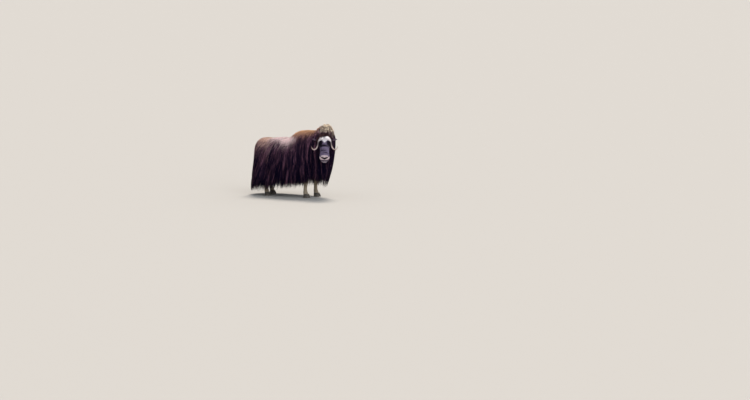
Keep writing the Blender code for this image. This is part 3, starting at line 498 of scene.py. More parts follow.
def head_marks(points):
    """How much of a point's coat belongs to the face: pale, dark with painted shade, and muzzle, in 0
    to 1.
    """
    a, b, c = on_head(points)
    side = np.abs(b)
    # pale wool between the horn bases and in front of them, down to a point between the eyes
    tongue = np.interp(a, (0.02, 0.090, 0.112, 0.140, 0.160), (0.060, 0.060, 0.034, 0.017, 0.002))
    pale = ease((a - pale_from(b)) / 0.016 + 0.5) * ease((0.160 - a) / 0.008 + 1)
    pale = pale * ease((tongue - side) / 0.012 + 0.5)
    brow = bump(a, 0.070, 0.106, 0.008) * ease((0.112 - side) / 0.016 + 0.5)
    pale = np.maximum(pale, brow) * ease((c - 0.010) / 0.02)
    # painted shade in the eye hollows, a dark band across the bridge under them with painted light on
    # the head's left side, and dark behind the horns
    along = (a - 0.150) / np.where(a > 0.150, 1.75, 1.15)
    eye = np.sqrt(along**2 + (side - 0.077) ** 2 + ((c - 0.055) / 1.3) ** 2)
    dark_and_shade = ease((0.047 - eye) / 0.026 + 0.5) * (1 - pale)
    bridge = bump(a, 0.212, 0.246, 0.020) * ease((0.105 - side) / 0.04) * ease(c / 0.03)
    dark_and_shade = np.maximum(dark_and_shade, bridge * (1.0 - 0.30 * ease(b / 0.06)))
    dark_and_shade = np.maximum(dark_and_shade, ease((0.006 - a) / 0.03 + 0.4))
    cheek = ease((side - 0.078) / 0.022) * bump(a, 0.060, 0.330, 0.060) * ease((0.030 - c) / 0.03)
    dark_and_shade = np.maximum(dark_and_shade, cheek * (1 - pale))
    dark_and_shade = np.maximum(dark_and_shade, ease((-0.085 - c) / 0.03) * ease((0.435 - a) / 0.03))
    # painted shade in the folds of the bridge, which run a little slantwise
    for at, slant, low, high in ((0.352, 0.20, -0.062, 0.016), (0.392, 0.22, -0.010, 0.072)):
        line = np.exp(-(((a - at - slant * b) / 0.0095) ** 2)) * bump(b, low, high, 0.02)
        dark_and_shade = np.maximum(dark_and_shade, 0.85 * line * ease(c / 0.03))
    # muzzle, with the dark nostrils and the bare skin between them
    nose = ease(0.5 - nose_gap(a, side, c) / 0.005)
    upper = ease((c + 0.010) / 0.03)
    edge = 0.440 + upper * (0.010 + 0.030 * (b / 0.08) ** 2)
    muzzle = ease((a - edge) / 0.012 + 0.5) * (1 - 0.65 * ease((mouth_line(side) - c) / 0.012))
    dark_and_shade = np.maximum(dark_and_shade, nose)
    # painted shade along the crease of the mouth
    lip = np.exp(-(((c - mouth_line(side)) / 0.0125) ** 2)) * ease((a - 0.37) / 0.05)
    dark_and_shade = np.maximum(dark_and_shade, 0.95 * lip)
    return np.stack([pale, dark_and_shade, muzzle * (1 - nose) * (1 - 0.8 * lip)], -1)


def crest_fall(points):
    """The fall of a point near the top of the coat, from how far it is under the crest."""
    crest = cubic(SPINE[:, 0], SPINE[:, CREST], points[..., 0])
    return 0.77 * np.sqrt(np.maximum(crest - points[..., 2], 0.0))


def body_marks(points, fall):
    """How much of a point's coat is saddle, rust-brown rim and cream wool, in 0 to 1, each brightened
    in part by painted light from above.
    """
    x, z = points[..., 0], points[..., 2]
    # the saddle's front edge runs from the foot of the hump forwards down both shoulders
    saddle_hem = 0.25 + 0.10 * ease((x + 0.25) / 0.25)
    saddle_ahead = 0.866 * x - 0.5 * np.abs(points[..., 1] - 0.058)
    shoulder = ease((z - 1.02) / 0.12) * ease((x + 0.15) / 0.12)
    saddle = ease((x + 0.50) / 0.10) * ease((-0.008 - saddle_ahead) / 0.03) * ease((1.195 - z) / 0.04)
    saddle = saddle * np.maximum(ease((saddle_hem - fall) / 0.13), shoulder)
    # painted light on the top of the rump, lit from above, in the saddle's and the rust's colours
    rump_hem = 0.44 - 0.05 * ease((x + 0.95) / 0.5)
    rump_top_light = bump(x, -0.95, -0.42, 0.10) * ease((rump_hem - fall) / 0.26)
    # the rim of the hump: warm brown tips with painted rim light along its top
    rust_and_rim_light = bump(x, 0.06, 0.58, 0.14) * ease((0.31 - fall) / 0.23)
    # cream wool on the dome, and less of it on the crown of the head; its cream top is partly a painted
    # highlight from above
    crown_ahead = 0.866 * x + 0.5 * points[..., 1]
    wool = ease((z - 1.275) / 0.06) * ease((x - 0.62) / 0.10)
    wool = np.maximum(wool, 0.75 * ease((z - 1.205) / 0.04) * ease((crown_ahead - 0.690) / 0.03))
    rust_and_rim_light = np.maximum(rust_and_rim_light, 0.70 * rump_top_light) * (1 - wool)
    return np.stack([np.maximum(saddle, 0.88 * rump_top_light), rust_and_rim_light * (1 - saddle), wool], -1)


# ---------------------------------------------------------------- colours and materials
def linear(code):
    """An sRGB hex colour as linear RGBA."""
    parts = [int(code[i:i + 2], 16) / 255 for i in (1, 3, 5)]
    parts = [p / 12.92 if p <= 0.04045 else ((p + 0.055) / 1.055) ** 2.4 for p in parts]
    return (*parts, 1.0)


def plug(tree, node, inputs):
    """Sets a node's inputs, as values or as links."""
    for key, value in inputs.items():
        if isinstance(value, bpy.types.NodeSocket):
            tree.links.new(value, node.inputs[key])
        else:
            node.inputs[key].default_value = value


def add(tree, kind, inputs=None, **settings):
    """Adds a node with its settings and inputs."""
    made = tree.nodes.new(kind)
    for key, value in settings.items():
        setattr(made, key, value)
    plug(tree, made, inputs or {})
    return made


def new_material(name):
    material = bpy.data.materials.new(name)
    material.use_nodes = True
    tree = material.node_tree
    tree.nodes.clear()
    shader = add(tree, "ShaderNodeBsdfPrincipled")
    add(tree, "ShaderNodeOutputMaterial", {"Surface": shader.outputs[0]})
    return material, tree, shader


MIX = {"data_type": "RGBA", "clamp_factor": True}  # inputs 0 factor, 6 and 7 colours; output 2


def remap(value, low, high, to_low, to_high):
    """The inputs that map value from low and high to two other numbers."""
    return {"Value": value, "From Min": low, "From Max": high, "To Min": to_low, "To Max": to_high}


# Long guard hair: a dark strand and a sun-worn one, and the same for each marking; the dark strand's
# violet-blue tint is painted sky light in the shade
GUARD = ("#08031f", "#a6748c")
# pale saddle hair, brightened near white as painted light from above; the same colour paints the lit
# top of the rump
SADDLE_AND_TOP_LIGHT = ("#f2bcc4", "#fff4ee")
# warm brown tips, lit rust-orange by painted rim light on the top of the hump and the rump
RUST_AND_RIM_LIGHT = ("#5e2836", "#f0bc8a")
# cream wool tips, with a painted highlight on the top of the dome
WOOL_AND_HIGHLIGHT = ("#5c3438", "#ffeed2")
PALE = ("#d3c4d0", "#fffafd")
# dark face hair, greyed violet by a painted sheen of the sky
FACE_AND_SKY_SHEEN = ("#50465d", "#a294b4")
# dark bare skin of the nose and dark hair, also used as painted shade in the eye hollows, the folds of
# the bridge and the crease of the mouth
DARK_AND_SHADE = ("#130f19", "#2f2738")
MUZZLE = ("#c6afb9", "#fff0f3")
STOCKING = ("#7a6c5c", "#cfc0aa")


def two_tone(tree, pair, factor):
    """The colour between a marking's dark and light hair."""
    mixed = add(tree, "ShaderNodeMix", {0: factor, 6: linear(pair[0]), 7: linear(pair[1])}, **MIX)
    return mixed.outputs[2]


def hair_material(name, base, marks, grain_mm, shine, rooted):
    """Hair coloured by its own tone from strand to strand, with the masks of its markings.

    tone is each tuft's own shade, along runs from root to tip, and marks holds three masks;
    rooted is how much light reaches the roots.
    """
    material, tree, shader = new_material(name)
    tone = add(tree, "ShaderNodeAttribute", attribute_name="tone").outputs["Fac"]
    along = add(tree, "ShaderNodeAttribute", attribute_name="along").outputs["Fac"]
    masks = add(tree, "ShaderNodeAttribute", attribute_name="marks").outputs["Color"]
    split = add(tree, "ShaderNodeSeparateColor", {"Color": masks})
    place = add(tree, "ShaderNodeTexCoord").outputs["Object"]
    # single hairs within a tuft, too fine to model
    fine = {"Vector": place, "Scale": 1000.0 / grain_mm, "Detail": 3.0, "Roughness": 0.6}
    grain = add(tree, "ShaderNodeTexNoise", fine).outputs[0]
    worn = add(tree, "ShaderNodeMapRange", remap(grain, 0.3, 0.7, -0.16, 0.16)).outputs[0]
    shade = add(tree, "ShaderNodeMath", {0: tone, 1: worn}, operation="ADD", use_clamp=True).outputs[0]
    # most guard hair is near the dark end of its range
    steep = add(tree, "ShaderNodeMath", {0: shade, 1: 2.0}, operation="POWER").outputs[0]
    colour = two_tone(tree, base, steep if name == "guard_hair" else shade)
    for mask, pair in zip(split.outputs[:3], marks):
        marked = {0: mask, 6: colour, 7: two_tone(tree, pair, shade)}
        colour = add(tree, "ShaderNodeMix", marked, **MIX).outputs[2]
    # the roots lie in the shade of their neighbours
    deep = add(tree, "ShaderNodeMapRange", remap(along, 0.0, 0.45, rooted, 1.0)).outputs[0]
    grey = add(tree, "ShaderNodeCombineColor", {i: deep for i in range(3)}).outputs[0]
    final = add(tree, "ShaderNodeMix", {0: 1.0, 6: colour, 7: grey}, blend_type="MULTIPLY", **MIX)
    dent = add(tree, "ShaderNodeBump", {"Height": grain, "Strength": 0.35, "Distance": 0.0008})
    looks = {"Base Color": final.outputs[2], "Normal": dent.outputs[0]}
    plug(tree, shader, looks | {"Roughness": shine, "Specular IOR Level": 0.05})
    return material


# Coarse, dry and matt, with strands from near black to sun-worn
GUARD_HAIR = hair_material("guard_hair", GUARD, (SADDLE_AND_TOP_LIGHT, RUST_AND_RIM_LIGHT, WOOL_AND_HIGHLIGHT), 6.0, 0.52, 0.45)
# Fine short hair that looks like velvet, lit almost to its roots, with a painted sheen of the sky in
# its colour
FACE_HAIR = hair_material("short_face_hair", FACE_AND_SKY_SHEEN, (PALE, DARK_AND_SHADE, MUZZLE), 2.5, 0.60, 0.72)
# Short, dull and straw-pale
LEG_HAIR = hair_material("stocking_hair", STOCKING, (GUARD, GUARD, GUARD), 2.5, 0.65, 0.65)


# ---------------------------------------------------------------- tufts
# how far along a tuft, and how broad it is there for its full width
TUFT_SHAPE = np.array([
    (0.0, 0.62), (0.15, 0.95), (0.35, 1.0), (0.60, 0.82), (0.82, 0.50), (1.0, 0.10),
])
UV_PATCH = 0.003  # size of a tuft's patch on the bake's sheet


def tuft_piece(
    name, material, roots_uv, paths, outs, width, tone, marks=None, flat=0.45, keep=slice(None)
):
    """Joined three-sided tapered tufts along paths, which run from root to tip.

    paths and outs are (tufts, steps, 3), and the rest has one value or row for each tuft;
    marks may have one row for each step. flat is a tuft's thickness for its width, and keep
    says which tufts are made.
    """
    if marks is None:
        marks = np.zeros((len(paths), 3))
    rows = (roots_uv, paths, outs, width, tone, marks)
    roots_uv, paths, outs, width, tone, marks = [each[keep] for each in rows]
    count, steps = paths.shape[:2]
    s = np.linspace(0, 1, steps)
    along = unit(np.gradient(paths, axis=1))
    across = unit(np.cross(along, outs))
    out = unit(np.cross(across, along))
    profile = np.interp(s[:-1], TUFT_SHAPE[:, 0], TUFT_SHAPE[:, 1])
    half = across[:, :-1] * (profile[None] * width[:, None] / 2)[..., None]
    deep = out[:, :-1] * (profile[None] ** 0.6 * (width * flat)[:, None] / 2)[..., None]
    middle = paths[:, :-1]
    rings = np.stack([middle + half - deep * 0.5, middle + deep, middle - half - deep * 0.5], axis=2)
    size = (steps - 1) * 3 + 1
    points = np.concatenate([rings.reshape(count, -1, 3), paths[:, -1:]], axis=1)
    quads = ring_quads(steps - 1, 3)
    last = (steps - 2) * 3
    ends = [(2, 1, 0)] + [(last + j, last + (j + 1) % 3, size - 1) for j in range(3)]
    template = np.concatenate([np.array(quads).reshape(-1), np.array(ends).reshape(-1)])
    loops = (template[None] + (np.arange(count) * size)[:, None]).ravel()
    sizes = np.tile([4] * len(quads) + [3] * len(ends), count)
    starts = np.concatenate([[0], np.cumsum(sizes)[:-1]])
    mesh = bpy.data.meshes.new(name)
    mesh.vertices.add(count * size)
    mesh.vertices.foreach_set("co", (points + SHIFT).astype(np.float32).ravel())
    mesh.loops.add(len(loops))
    mesh.loops.foreach_set("vertex_index", loops.astype(np.int32))
    mesh.polygons.add(len(sizes))
    mesh.polygons.foreach_set("loop_start", starts.astype(np.int32))
    mesh.update(calc_edges=True)
    smooth(mesh)
    ring_along = np.concatenate([np.repeat(s[:-1], 3), [1.0]])
    point_attribute(mesh, "along", np.tile(ring_along, count))
    point_attribute(mesh, "tone", np.repeat(np.clip(tone, 0, 1), size))
    if marks.ndim == 2:
        marks = np.repeat(marks[:, None], steps, axis=1)
    marks = np.concatenate([np.repeat(marks[:, :-1], 3, axis=1), marks[:, -1:]], axis=1)
    mask_attribute(mesh, marks.reshape(-1, 3))
    # each tuft is one small patch of the bake, at its root's place on the skin's unwrap
    corner = np.concatenate([np.tile((0.0, 0.5, 1.0), steps - 1), [0.5]])
    uv = roots_uv[:, None] + columns(corner, ring_along) * UV_PATCH
    layer = mesh.uv_layers.new(name="OFBake")
    layer.data.foreach_set("uv", uv.reshape(-1, 2)[loops].astype(np.float32).ravel())
    mesh.materials.append(material)
    print(name, count, "tufts", int((sizes - 2).sum()), "triangles")
    return link(name, mesh)


def body_uv(lap, fall):
    """The body's unwrap: round it and down it, in the lower part of the sheet."""
    return columns(0.004 + 0.99 * np.mod(lap, 4) / 4, 0.004 + 0.62 * np.clip(fall, 0, 1))


def head_uv(points):
    """The head's unwrap: round its long axis and along it, in the upper left."""
    a, b, c = on_head(points)
    turn = np.arctan2(b, c + 0.03) / (2 * math.pi) + 0.5
    return columns(0.01 + 0.46 * turn, 0.65 + 0.34 * np.clip((a + 0.10) / 0.62, 0, 1))


def leg_uv(points, number):
    """Each leg's unwrap: a strip of its own in the upper right."""
    x, y, z = (points - points.mean(0) * (1, 1, 0)).T
    turn = np.arctan2(y, x) / (2 * math.pi) + 0.5
    return columns(0.50 + 0.125 * number + 0.115 * turn, 0.65 + 0.34 * np.clip(z / 0.7, 0, 1))


# ---------------------------------------------------------------- the long coat
GATHER = 0.72  # how far the hairs of a lock draw together by its tip
STRAY = 0.004  # how far tips stray from their lock, in metres
LIFT = 0.3  # how much of its depth under the coat a hair leaves by its tip
CURL_RINGS = 7  # points along a curl, without its root
DOME_LUMPS = 0.030  # height of the woolly lumps of the dome
DOME_PUFF = 0.016  # how far the shoulders of the dome swell


def in_the_way(paths):
    """Which hairs would hang over the face or the horns."""
    a, b, c = on_head(paths)
    side = np.abs(b)
    half, low = [cubic(SKULL[:, 0], SKULL[:, k], a) for k in (1, 3)]
    face = (a > 0.035) & (a < 0.60) & (side < half + 0.004) & (c > low)
    crown = (a > 0.010) & (a <= 0.13) & (side < 0.100) & (c > 0.075)
    blocked = face | crown
    for row in evenly(HORN, np.linspace(0.12, 1, 16)):
        near = (a - row[0]) ** 2 + (side - row[1]) ** 2 < (row[4] + 0.010) ** 2
        blocked |= near & (c > row[2] - 0.045)
    return blocked.any(1)


def clear_hair(paths, outs, width, tone, marks, roots_uv):
    """Hair for the coat, without what would hang over the face or the horns."""
    keep = ~in_the_way(paths)
    hair = dict(paths=paths, outs=outs, width=width, tone=tone, marks=marks, roots_uv=roots_uv)
    return {key: values[keep] for key, values in hair.items()}


def scattered_by(dice, count):
    """How far from its own place each tuft reads the markings, so that their edges are ragged."""
    return dice.normal(0, 0.018, count)[:, None, None] * np.array((2.4, 0.0, 1.0))


def long_hair(
    dice, count, span, root, tip, layer, per_lock=10, apart=0.015, rings=6, width=0.0058,
    sweep=0.11, wave=0.007, curl=1.2, curl_out=0.0, rise=0.30, puff=0.0, lumps=0.0, puffed=0.0,
    pale_locks=0.15, patchy=1.0, lump_light_and_shade=0.0, fleck=0.0,
):
    """Guard hairs in hanging locks: where each runs, and its out directions, width and looks.

    span is in laps, root and tip are ranges of fall, and layer is how deep under the outer
    coat they lie. A lock holds per_lock hairs, apart from each other at their roots, with
    rings points along each. They sweep back, wave sideways and curl_out, with curl turns,
    leave the core over the first rise of their length, and puff up in the middle; lumps and
    puffed are the coat's own bumps. The last four values are shares of the tones.
    """
    locks = max(count // per_lock, 1)
    lock_at = dice.uniform(*metres_at(span), locks)
    lock_root = dice.uniform(*root, locks)
    lock_tip = dice.uniform(*tip, locks)
    pale = dice.uniform(0, 1, locks) < pale_locks
    lock_tone = dice.normal(0, 0.04, locks) + pale * dice.uniform(0.30, 0.98, locks)
    lock_marks = dice.uniform(patchy, 1.0, locks)
    lock_phase = dice.uniform(0, 2 * math.pi, locks)
    lock_layer = dice.uniform(*layer, locks)
    which = np.repeat(np.arange(locks), per_lock)
    n = len(which)
    s = np.linspace(0, 1, rings)[None]
    off = dice.normal(0, apart, n)
    at = lock_at[which] + off
    lap = lap_at(at)
    root_fall = np.clip(lock_root[which] + dice.normal(0, 0.030, n), root[0] * 0.5, 0.86)
    tip_fall = lock_tip[which] + dice.normal(0, 0.028, n)
    length = np.clip(tip_fall, root_fall + 0.06, 1.035) - root_fall
    fall = root_fall[:, None] + length[:, None] * s
    # back along each side, and more so round the rump
    side = np.clip(np.sin(lap * math.pi / 2 + math.pi / 4) * 2.2, -1, 1)
    rear = ease((1.15 - np.abs(np.mod(lap - 1.5, 4) - 2)) / 0.65)
    back = -side * length * (sweep + 0.26 * rear)
    phase = (lock_phase[which] + dice.normal(0, 0.5, n))[:, None] + s * curl * 2 * math.pi
    metres = at[:, None] + back[:, None] * s**1.3 + wave * np.sin(phase) * s
    metres = metres - off[:, None] * GATHER * ease(s) * (0.6 + 0.4 * s)
    laps = lap_at(metres + dice.normal(0, STRAY, n)[:, None] * s**2)
    surface, out = coat(laps, fall), coat_normal(laps, fall)
    uneven = mottle(surface, 0.075) - 0.45
    swell = lumps * uneven + puffed * bump(fall, 0.07, 0.17, 0.06)
    lie = (lock_layer[which] + dice.uniform(-0.004, 0.006, n))[:, None] * (1 - LIFT * ease(s))
    path = surface + out * (swell + puff * np.sin(s * math.pi * 0.8) - lie)[..., None]
    # up from the core to the coat
    low_root = core_beside(lap, path[:, 0, 2] + 0.030)
    rooted = np.where((root_fall < 0.5)[:, None], core(lap, root_fall), low_root) - out[:, 0] * 0.006
    take = (1 - ease(s / rise))[..., None]
    path = path + (rooted - path[:, 0])[:, None] * take
    path = path + out * (curl_out * np.cos(phase) * ease(s * 2))[..., None]
    width = width * np.where(dice.uniform(0, 1, n) < 0.3, 0.5, dice.uniform(0.8, 1.3, n))
    streak = np.sin(at * 61.0) * 0.5 + np.sin(at * 143.0 + 1.3) * 0.5
    tone = 0.015 + lock_tone[which] * dice.uniform(0.25, 1.0, n) + 0.04 * streak
    # painted light on the tops of the coat's lumps and painted shade in the gaps between them
    tone = tone + dice.normal(0, 0.07, n) + lump_light_and_shade * uneven[:, -2]
    tone = tone + 0.12 * ease((path[:, 2, 2] - 0.76) / 0.20)
    tone = tone + dice.uniform(0.4, 0.8, n) * (dice.uniform(0, 1, n) > 0.93)
    tone = tone + fleck * dice.uniform(0, 1, n) ** 2
    ragged = fall + (dice.normal(0, 1, n) * (0.035 + 0.050 * rear))[:, None]
    marks = body_marks(path + scattered_by(dice, n), ragged) * lock_marks[which][:, None, None]
    # saddle and rust hair is lighter still: painted light from above
    tone = tone + 0.42 * marks[:, 1:4, :2].max(-1).mean(-1)
    return clear_hair(path, out, width, tone, marks, body_uv(lap, root_fall))


def coat_piece(name, lots, flat=0.42):
    """One piece of the coat from several lots of hair."""
    hair = {key: np.concatenate([lot[key] for lot in lots]) for key in lots[0]}
    return tuft_piece(name, GUARD_HAIR, flat=flat, **hair)


# Layers of the coat: piece, number of hairs, ranges of fall at root and at tip, depth under
# the coat, and what differs from plain hair. On the body the number is for a whole side.
SHORT = {
    "rings": 5, "width": 0.0042, "apart": 0.014, "wave": 0.003, "rise": 0.5, "per_lock": 8,
    "puff": 0.004, "patchy": 0.95,
}
SIDES = (
    ("skirt", 2400, (0.52, 0.80), (0.93, 1.02), (0.014, 0.040), {}),
    ("skirt", 2600, (0.36, 0.56), (0.86, 1.01), (0.004, 0.026), {}),
    ("flank", 2400, (0.20, 0.40), (0.60, 0.84), (0.0, 0.020), {}),
    ("flank", 2500, (0.09, 0.24), (0.36, 0.58), (0.0, 0.014), {"width": 0.0050, "wave": 0.005}),
)
STRAIGHT = {"sweep": 0.05}
WAVY = {"width": 0.0054, "sweep": 0.07, "wave": 0.010, "curl": 1.6}
CREST_HAIR = {
    "width": 0.0046, "apart": 0.016, "wave": 0.009, "curl": 1.5, "rise": 0.5, "per_lock": 9,
    "puff": 0.004, "curl_out": 0.004,
}
WOOLLY = {
    "width": 0.0052, "apart": 0.016, "wave": 0.026, "curl": 1.3, "rise": 0.6, "fleck": 0.30,
    "lumps": DOME_LUMPS, "lump_light_and_shade": 0.5, "per_lock": 12, "curl_out": 0.006, "rings": 8,
    "pale_locks": 0.25, "patchy": 0.55, "puffed": DOME_PUFF,
}
MANE = (  # the same, with the laps from and to after the number
    ("chest", 2250, (0.70, 2.30), (0.50, 0.80), (0.90, 1.02), (0.012, 0.036), STRAIGHT),
    ("chest", 2250, (0.70, 2.30), (0.32, 0.54), (0.72, 1.0), (0.002, 0.026), STRAIGHT),
    ("mane", 2750, (0.42, 2.58), (0.16, 0.34), (0.46, 0.76), (0.0, 0.020), WAVY),
    ("mane", 2400, (0.42, 2.58), (0.05, 0.20), (0.28, 0.50), (0.0, 0.012), WAVY),
    ("hump_crest", 1350, (0.42, 0.86), (0.02, 0.13), (0.15, 0.34), (0.0, 0.012), CREST_HAIR),
    ("hump_crest", 1350, (2.14, 2.58), (0.02, 0.13), (0.15, 0.34), (0.0, 0.012), CREST_HAIR),
    ("dome_wool", 450, (0.86, 2.14), (0.02, 0.12), (0.12, 0.24), (0.006, 0.018), WOOLLY),
    ("dome_wool", 550, (0.86, 2.14), (0.08, 0.20), (0.20, 0.34), (0.004, 0.018), WOOLLY),
)


def make_coat():
    """The long coat of the body: two skirts, two flanks and the short hair of the back."""
    dice = np.random.default_rng(21)
    pieces = []
    for word, spans in (("left", ((3.5, 4.0), (0.0, 0.72))), ("right", ((2.28, 3.5),))):
        lots = {"skirt": [], "flank": []}
        for span in spans:
            share = np.ptp(metres_at(span)) / 2.1
            for kind, count, *ranges, options in SIDES:
                lots[kind].append(long_hair(dice, int(count * share), span, *ranges, **options))
        pieces += [coat_piece(f"{kind}_{word}", hair) for kind, hair in lots.items()]
    back = []
    for span in ((3.5, 4.0), (0.0, 0.45), (2.55, 3.5)):
        count = int(4300 * np.ptp(metres_at(span)) / 2.8)
        back.append(long_hair(dice, count, span, (0.02, 0.15), (0.14, 0.33), (0.0, 0.010), **SHORT))
    return pieces + [coat_piece("back", back)]


def make_mane():
    """Chest, neck, hump and the woolly dome."""
    dice = np.random.default_rng(22)
    lots = {}
    for name, count, *ranges, options in MANE:
        lots.setdefault(name, []).append(long_hair(dice, count, *ranges, **options))
    pieces = [coat_piece(name, hair) for name, hair in lots.items()]
    return pieces + [coat_piece("dome_curls", [wool_curls(dice, 300, 7)], 0.55)]


def wool_curls(dice, locks, each):
    """Crimped locks of wool that lie every way over the lumps of the dome."""
    lap = lap_at(dice.uniform(*metres_at((0.90, 2.10)), locks))
    fall = 0.015 + 0.29 * dice.uniform(0, 1, locks) ** 0.6
    middle, out = coat(lap, fall), coat_normal(lap, fall)
    uneven = mottle(middle, 0.085) - 0.45
    puffed = 0.012 * bump(fall, 0.07, 0.17, 0.06)
    middle = middle + out * (DOME_LUMPS * uneven - 0.004 + puffed)[:, None]
    high = np.maximum(fall, 0.03)
    down = unit(coat(lap, high + 0.01) - coat(lap, high - 0.01))
    heading = dice.normal(0, 0.85, locks)
    bend = dice.uniform(0.9, 2.0, locks) * dice.choice((-1, 1), locks)
    phase = dice.uniform(0, 2 * math.pi, locks)
    reach = dice.uniform(0.050, 0.085, locks)
    own = dice.uniform(0, 1, locks)
    root = core(lap, fall) - out * 0.004
    which = np.repeat(np.arange(locks), each)
    lap, fall, uneven, own, root = [part[which] for part in (lap, fall, uneven, own, root)]
    middle, out, down = [part[which][:, None] for part in (middle, out, down)]
    n = len(which)
    s = np.linspace(0, 1, CURL_RINGS)[None]
    wave = np.sin(s * 1.25 * 2 * math.pi + phase[which][:, None] + dice.normal(0, 0.45, n)[:, None])
    angle = (heading[which] + dice.normal(0, 0.22, n))[:, None]
    angle = (angle + bend[which][:, None] * (wave + 0.6 * s))[..., None]
    side = np.cross(out, down)
    ahead = np.cos(angle) * down + np.sin(angle) * side
    across = np.cos(angle) * side - np.sin(angle) * down
    step = (reach[which] * dice.uniform(0.7, 1.15, n) / (CURL_RINGS - 1))[:, None, None]
    path = np.cumsum(ahead * step, axis=1)
    path = path - path.mean(1, keepdims=True) + middle
    lateral = dice.uniform(-1, 1, n)
    path = path + across * (0.0105 * lateral[:, None] * (1 - 0.55 * s))[..., None]
    rise = 0.018 * np.sin(s * math.pi * 0.92) - 0.012 - 0.006 * lateral[:, None] ** 2
    path = path + out * (rise + dice.normal(0, 0.0022, n)[:, None])[..., None]
    path = np.concatenate([root[:, None] + 0.5 * (path[:, :1] - middle), path], axis=1)
    # painted light from above: locks high on the dome and on the tops of its lumps are lighter, those
    # in the gaps darker, and a lock's middle hairs are lighter than its edges
    tone = 0.22 + 0.22 * ease((middle[:, 0, 2] - 1.32) / 0.05) + 0.70 * uneven
    tone = tone + 0.80 * own**1.2 * (1 - 0.45 * lateral**2) + dice.normal(0, 0.12, n)
    marks = body_marks(path, np.repeat(fall[:, None], CURL_RINGS + 1, 1))
    marks[..., 2] *= (0.72 + 0.28 * own**0.5)[:, None]
    out = np.repeat(out, CURL_RINGS + 1, 1)
    width = 0.0044 * dice.uniform(0.6, 1.25, n)
    return clear_hair(path, out, width, tone, marks, body_uv(lap, fall))


# ---------------------------------------------------------------- skin
def body_skin():
    sides = np.linspace(0, 1, 61)[:-1]
    ends = np.linspace(0, 1, 25)[:-1]
    laps = np.concatenate([sides, 1 + ends, 2 + sides, 3 + ends])
    falls = np.concatenate([np.linspace(0, 0.5, 24), 0.5 + np.linspace(0, 0.5, 20)[1:]])
    grid = core(laps[None, :], falls[:, None], -SKIN_INSET)
    faces = ring_quads(len(falls), len(laps))
    return tidy(link("skin", mesh_of("skin", grid.reshape(-1, 3), faces)))


def leg_skin(name, rows, side):
    """One leg, with the two hollows beside the tendon behind its cannon bone."""
    at = evenly(rows, np.linspace(0, 1, 44))
    at[:, 0] += STRIDE[name] * ease((rows[0, 2] - at[:, 2]) / 0.5)
    turn = around(28)[:, None]
    rings = []
    for x, y, z, depth, width in at[at[:, 2] > HOOF_TOP - 0.004]:
        deep = 0.16 * bump(z, 0.14, 0.28, 0.04)
        hollows = [np.exp(-(((turn - math.pi * place) / 0.28) ** 2)) for place in (0.68, 1.32)]
        ring = np.cos(turn) * (depth - SKIN_INSET, 0, 0) + np.sin(turn) * (0, width - SKIN_INSET, 0)
        rings.append(np.array((x, y * side, z)) + ring * (1 - deep * sum(hollows)))
    return loft(name, rings)


def tail_skin():
    """The short flat tail, which hangs close to the rump."""
    falls = np.linspace(0.62, 0.05, 60)
    heights = core(np.full(60, 3.5), falls)[:, 2]
    turn = around(16)
    rings = []
    for s in np.linspace(0, 1, 14):
        z = 0.930 - 0.155 * s
        x, _, height = core(3.5, float(np.interp(z, heights, falls)))
        half = (0.030 + 0.012 * math.sin(s * math.pi)) * (1 - s**6 * 0.75) - SKIN_INSET
        thick = 0.016 * (1 - 0.6 * s**4) - SKIN_INSET
        behind = x - (0.012 + 0.006 * s)
        rings.append(columns(behind + np.cos(turn) * thick, np.sin(turn) * half, height))
    return loft("tail", rings)


def skull_ring(a, grow=0.0):
    half, top, bottom, wide, power = cubic(SKULL[:, 0], SKULL[:, 1:], a)
    turn = around(48)
    across = np.sign(np.cos(turn)) * np.abs(np.cos(turn)) ** (2 / power)
    rise = np.sign(np.sin(turn)) * np.abs(np.sin(turn)) ** (2 / power)
    depth = np.where(rise > 0, top - wide, wide - bottom) + grow
    return columns(a, across * (half + grow), wide + rise * depth)


LID_POINTS = 17  # along the edge of a lid


def gaze_axes(side):
    """The way an eye looks, and the two directions across it: to the nose, and up the brow."""
    look = mirrored(unit(np.array(GAZE)), side)
    nose = unit(np.array((1.0, 0.0, 0.0)) - look * look[0])
    return look, nose, np.cross(look, nose) * side


def lid_edge(side, way, grow=1.0):
    """The edge of one lid, from the front corner of the eye to the back, on a ball of radius 1."""
    look, nose, up = gaze_axes(side)
    turn = np.linspace(0, 1, LID_POINTS)[:, None] * math.pi
    opening = 0.64 if way > 0 else 0.54
    across = np.cos(turn) * 0.92
    rise = np.sin(turn) ** 0.8 * opening * way - 0.06 * np.cos(turn)
    out = np.sqrt(np.maximum(grow**2 - across**2 - rise**2, 0.0))
    return across * nose + rise * up + out * look


def eyelid(name, side, way):
    """The rolled edge of one lid."""
    path = mirrored(EYE_AT, side) + lid_edge(side, way, 1.15) * EYE_RADIUS
    swell = np.sin(np.linspace(0, 1, LID_POINTS) * math.pi)
    return tube(name, path, 0.0020 + (0.0008 if way > 0 else 0.0003) * swell, 8)


def eye_opening(side):
    """What is cut out of the lids: the space between their edges, along the gaze."""
    look, _, _ = gaze_axes(side)
    edge = np.concatenate([lid_edge(side, 1), lid_edge(side, -1)[-2:0:-1]])
    flat = edge - look * (edge @ look)[:, None]
    near, far = [(flat * wide + look * at) * EYE_RADIUS for wide, at in ((0.98, 0.3), (1.1, 2.0))]
    return loft("opening", [mirrored(EYE_AT, side) + near, mirrored(EYE_AT, side) + far])


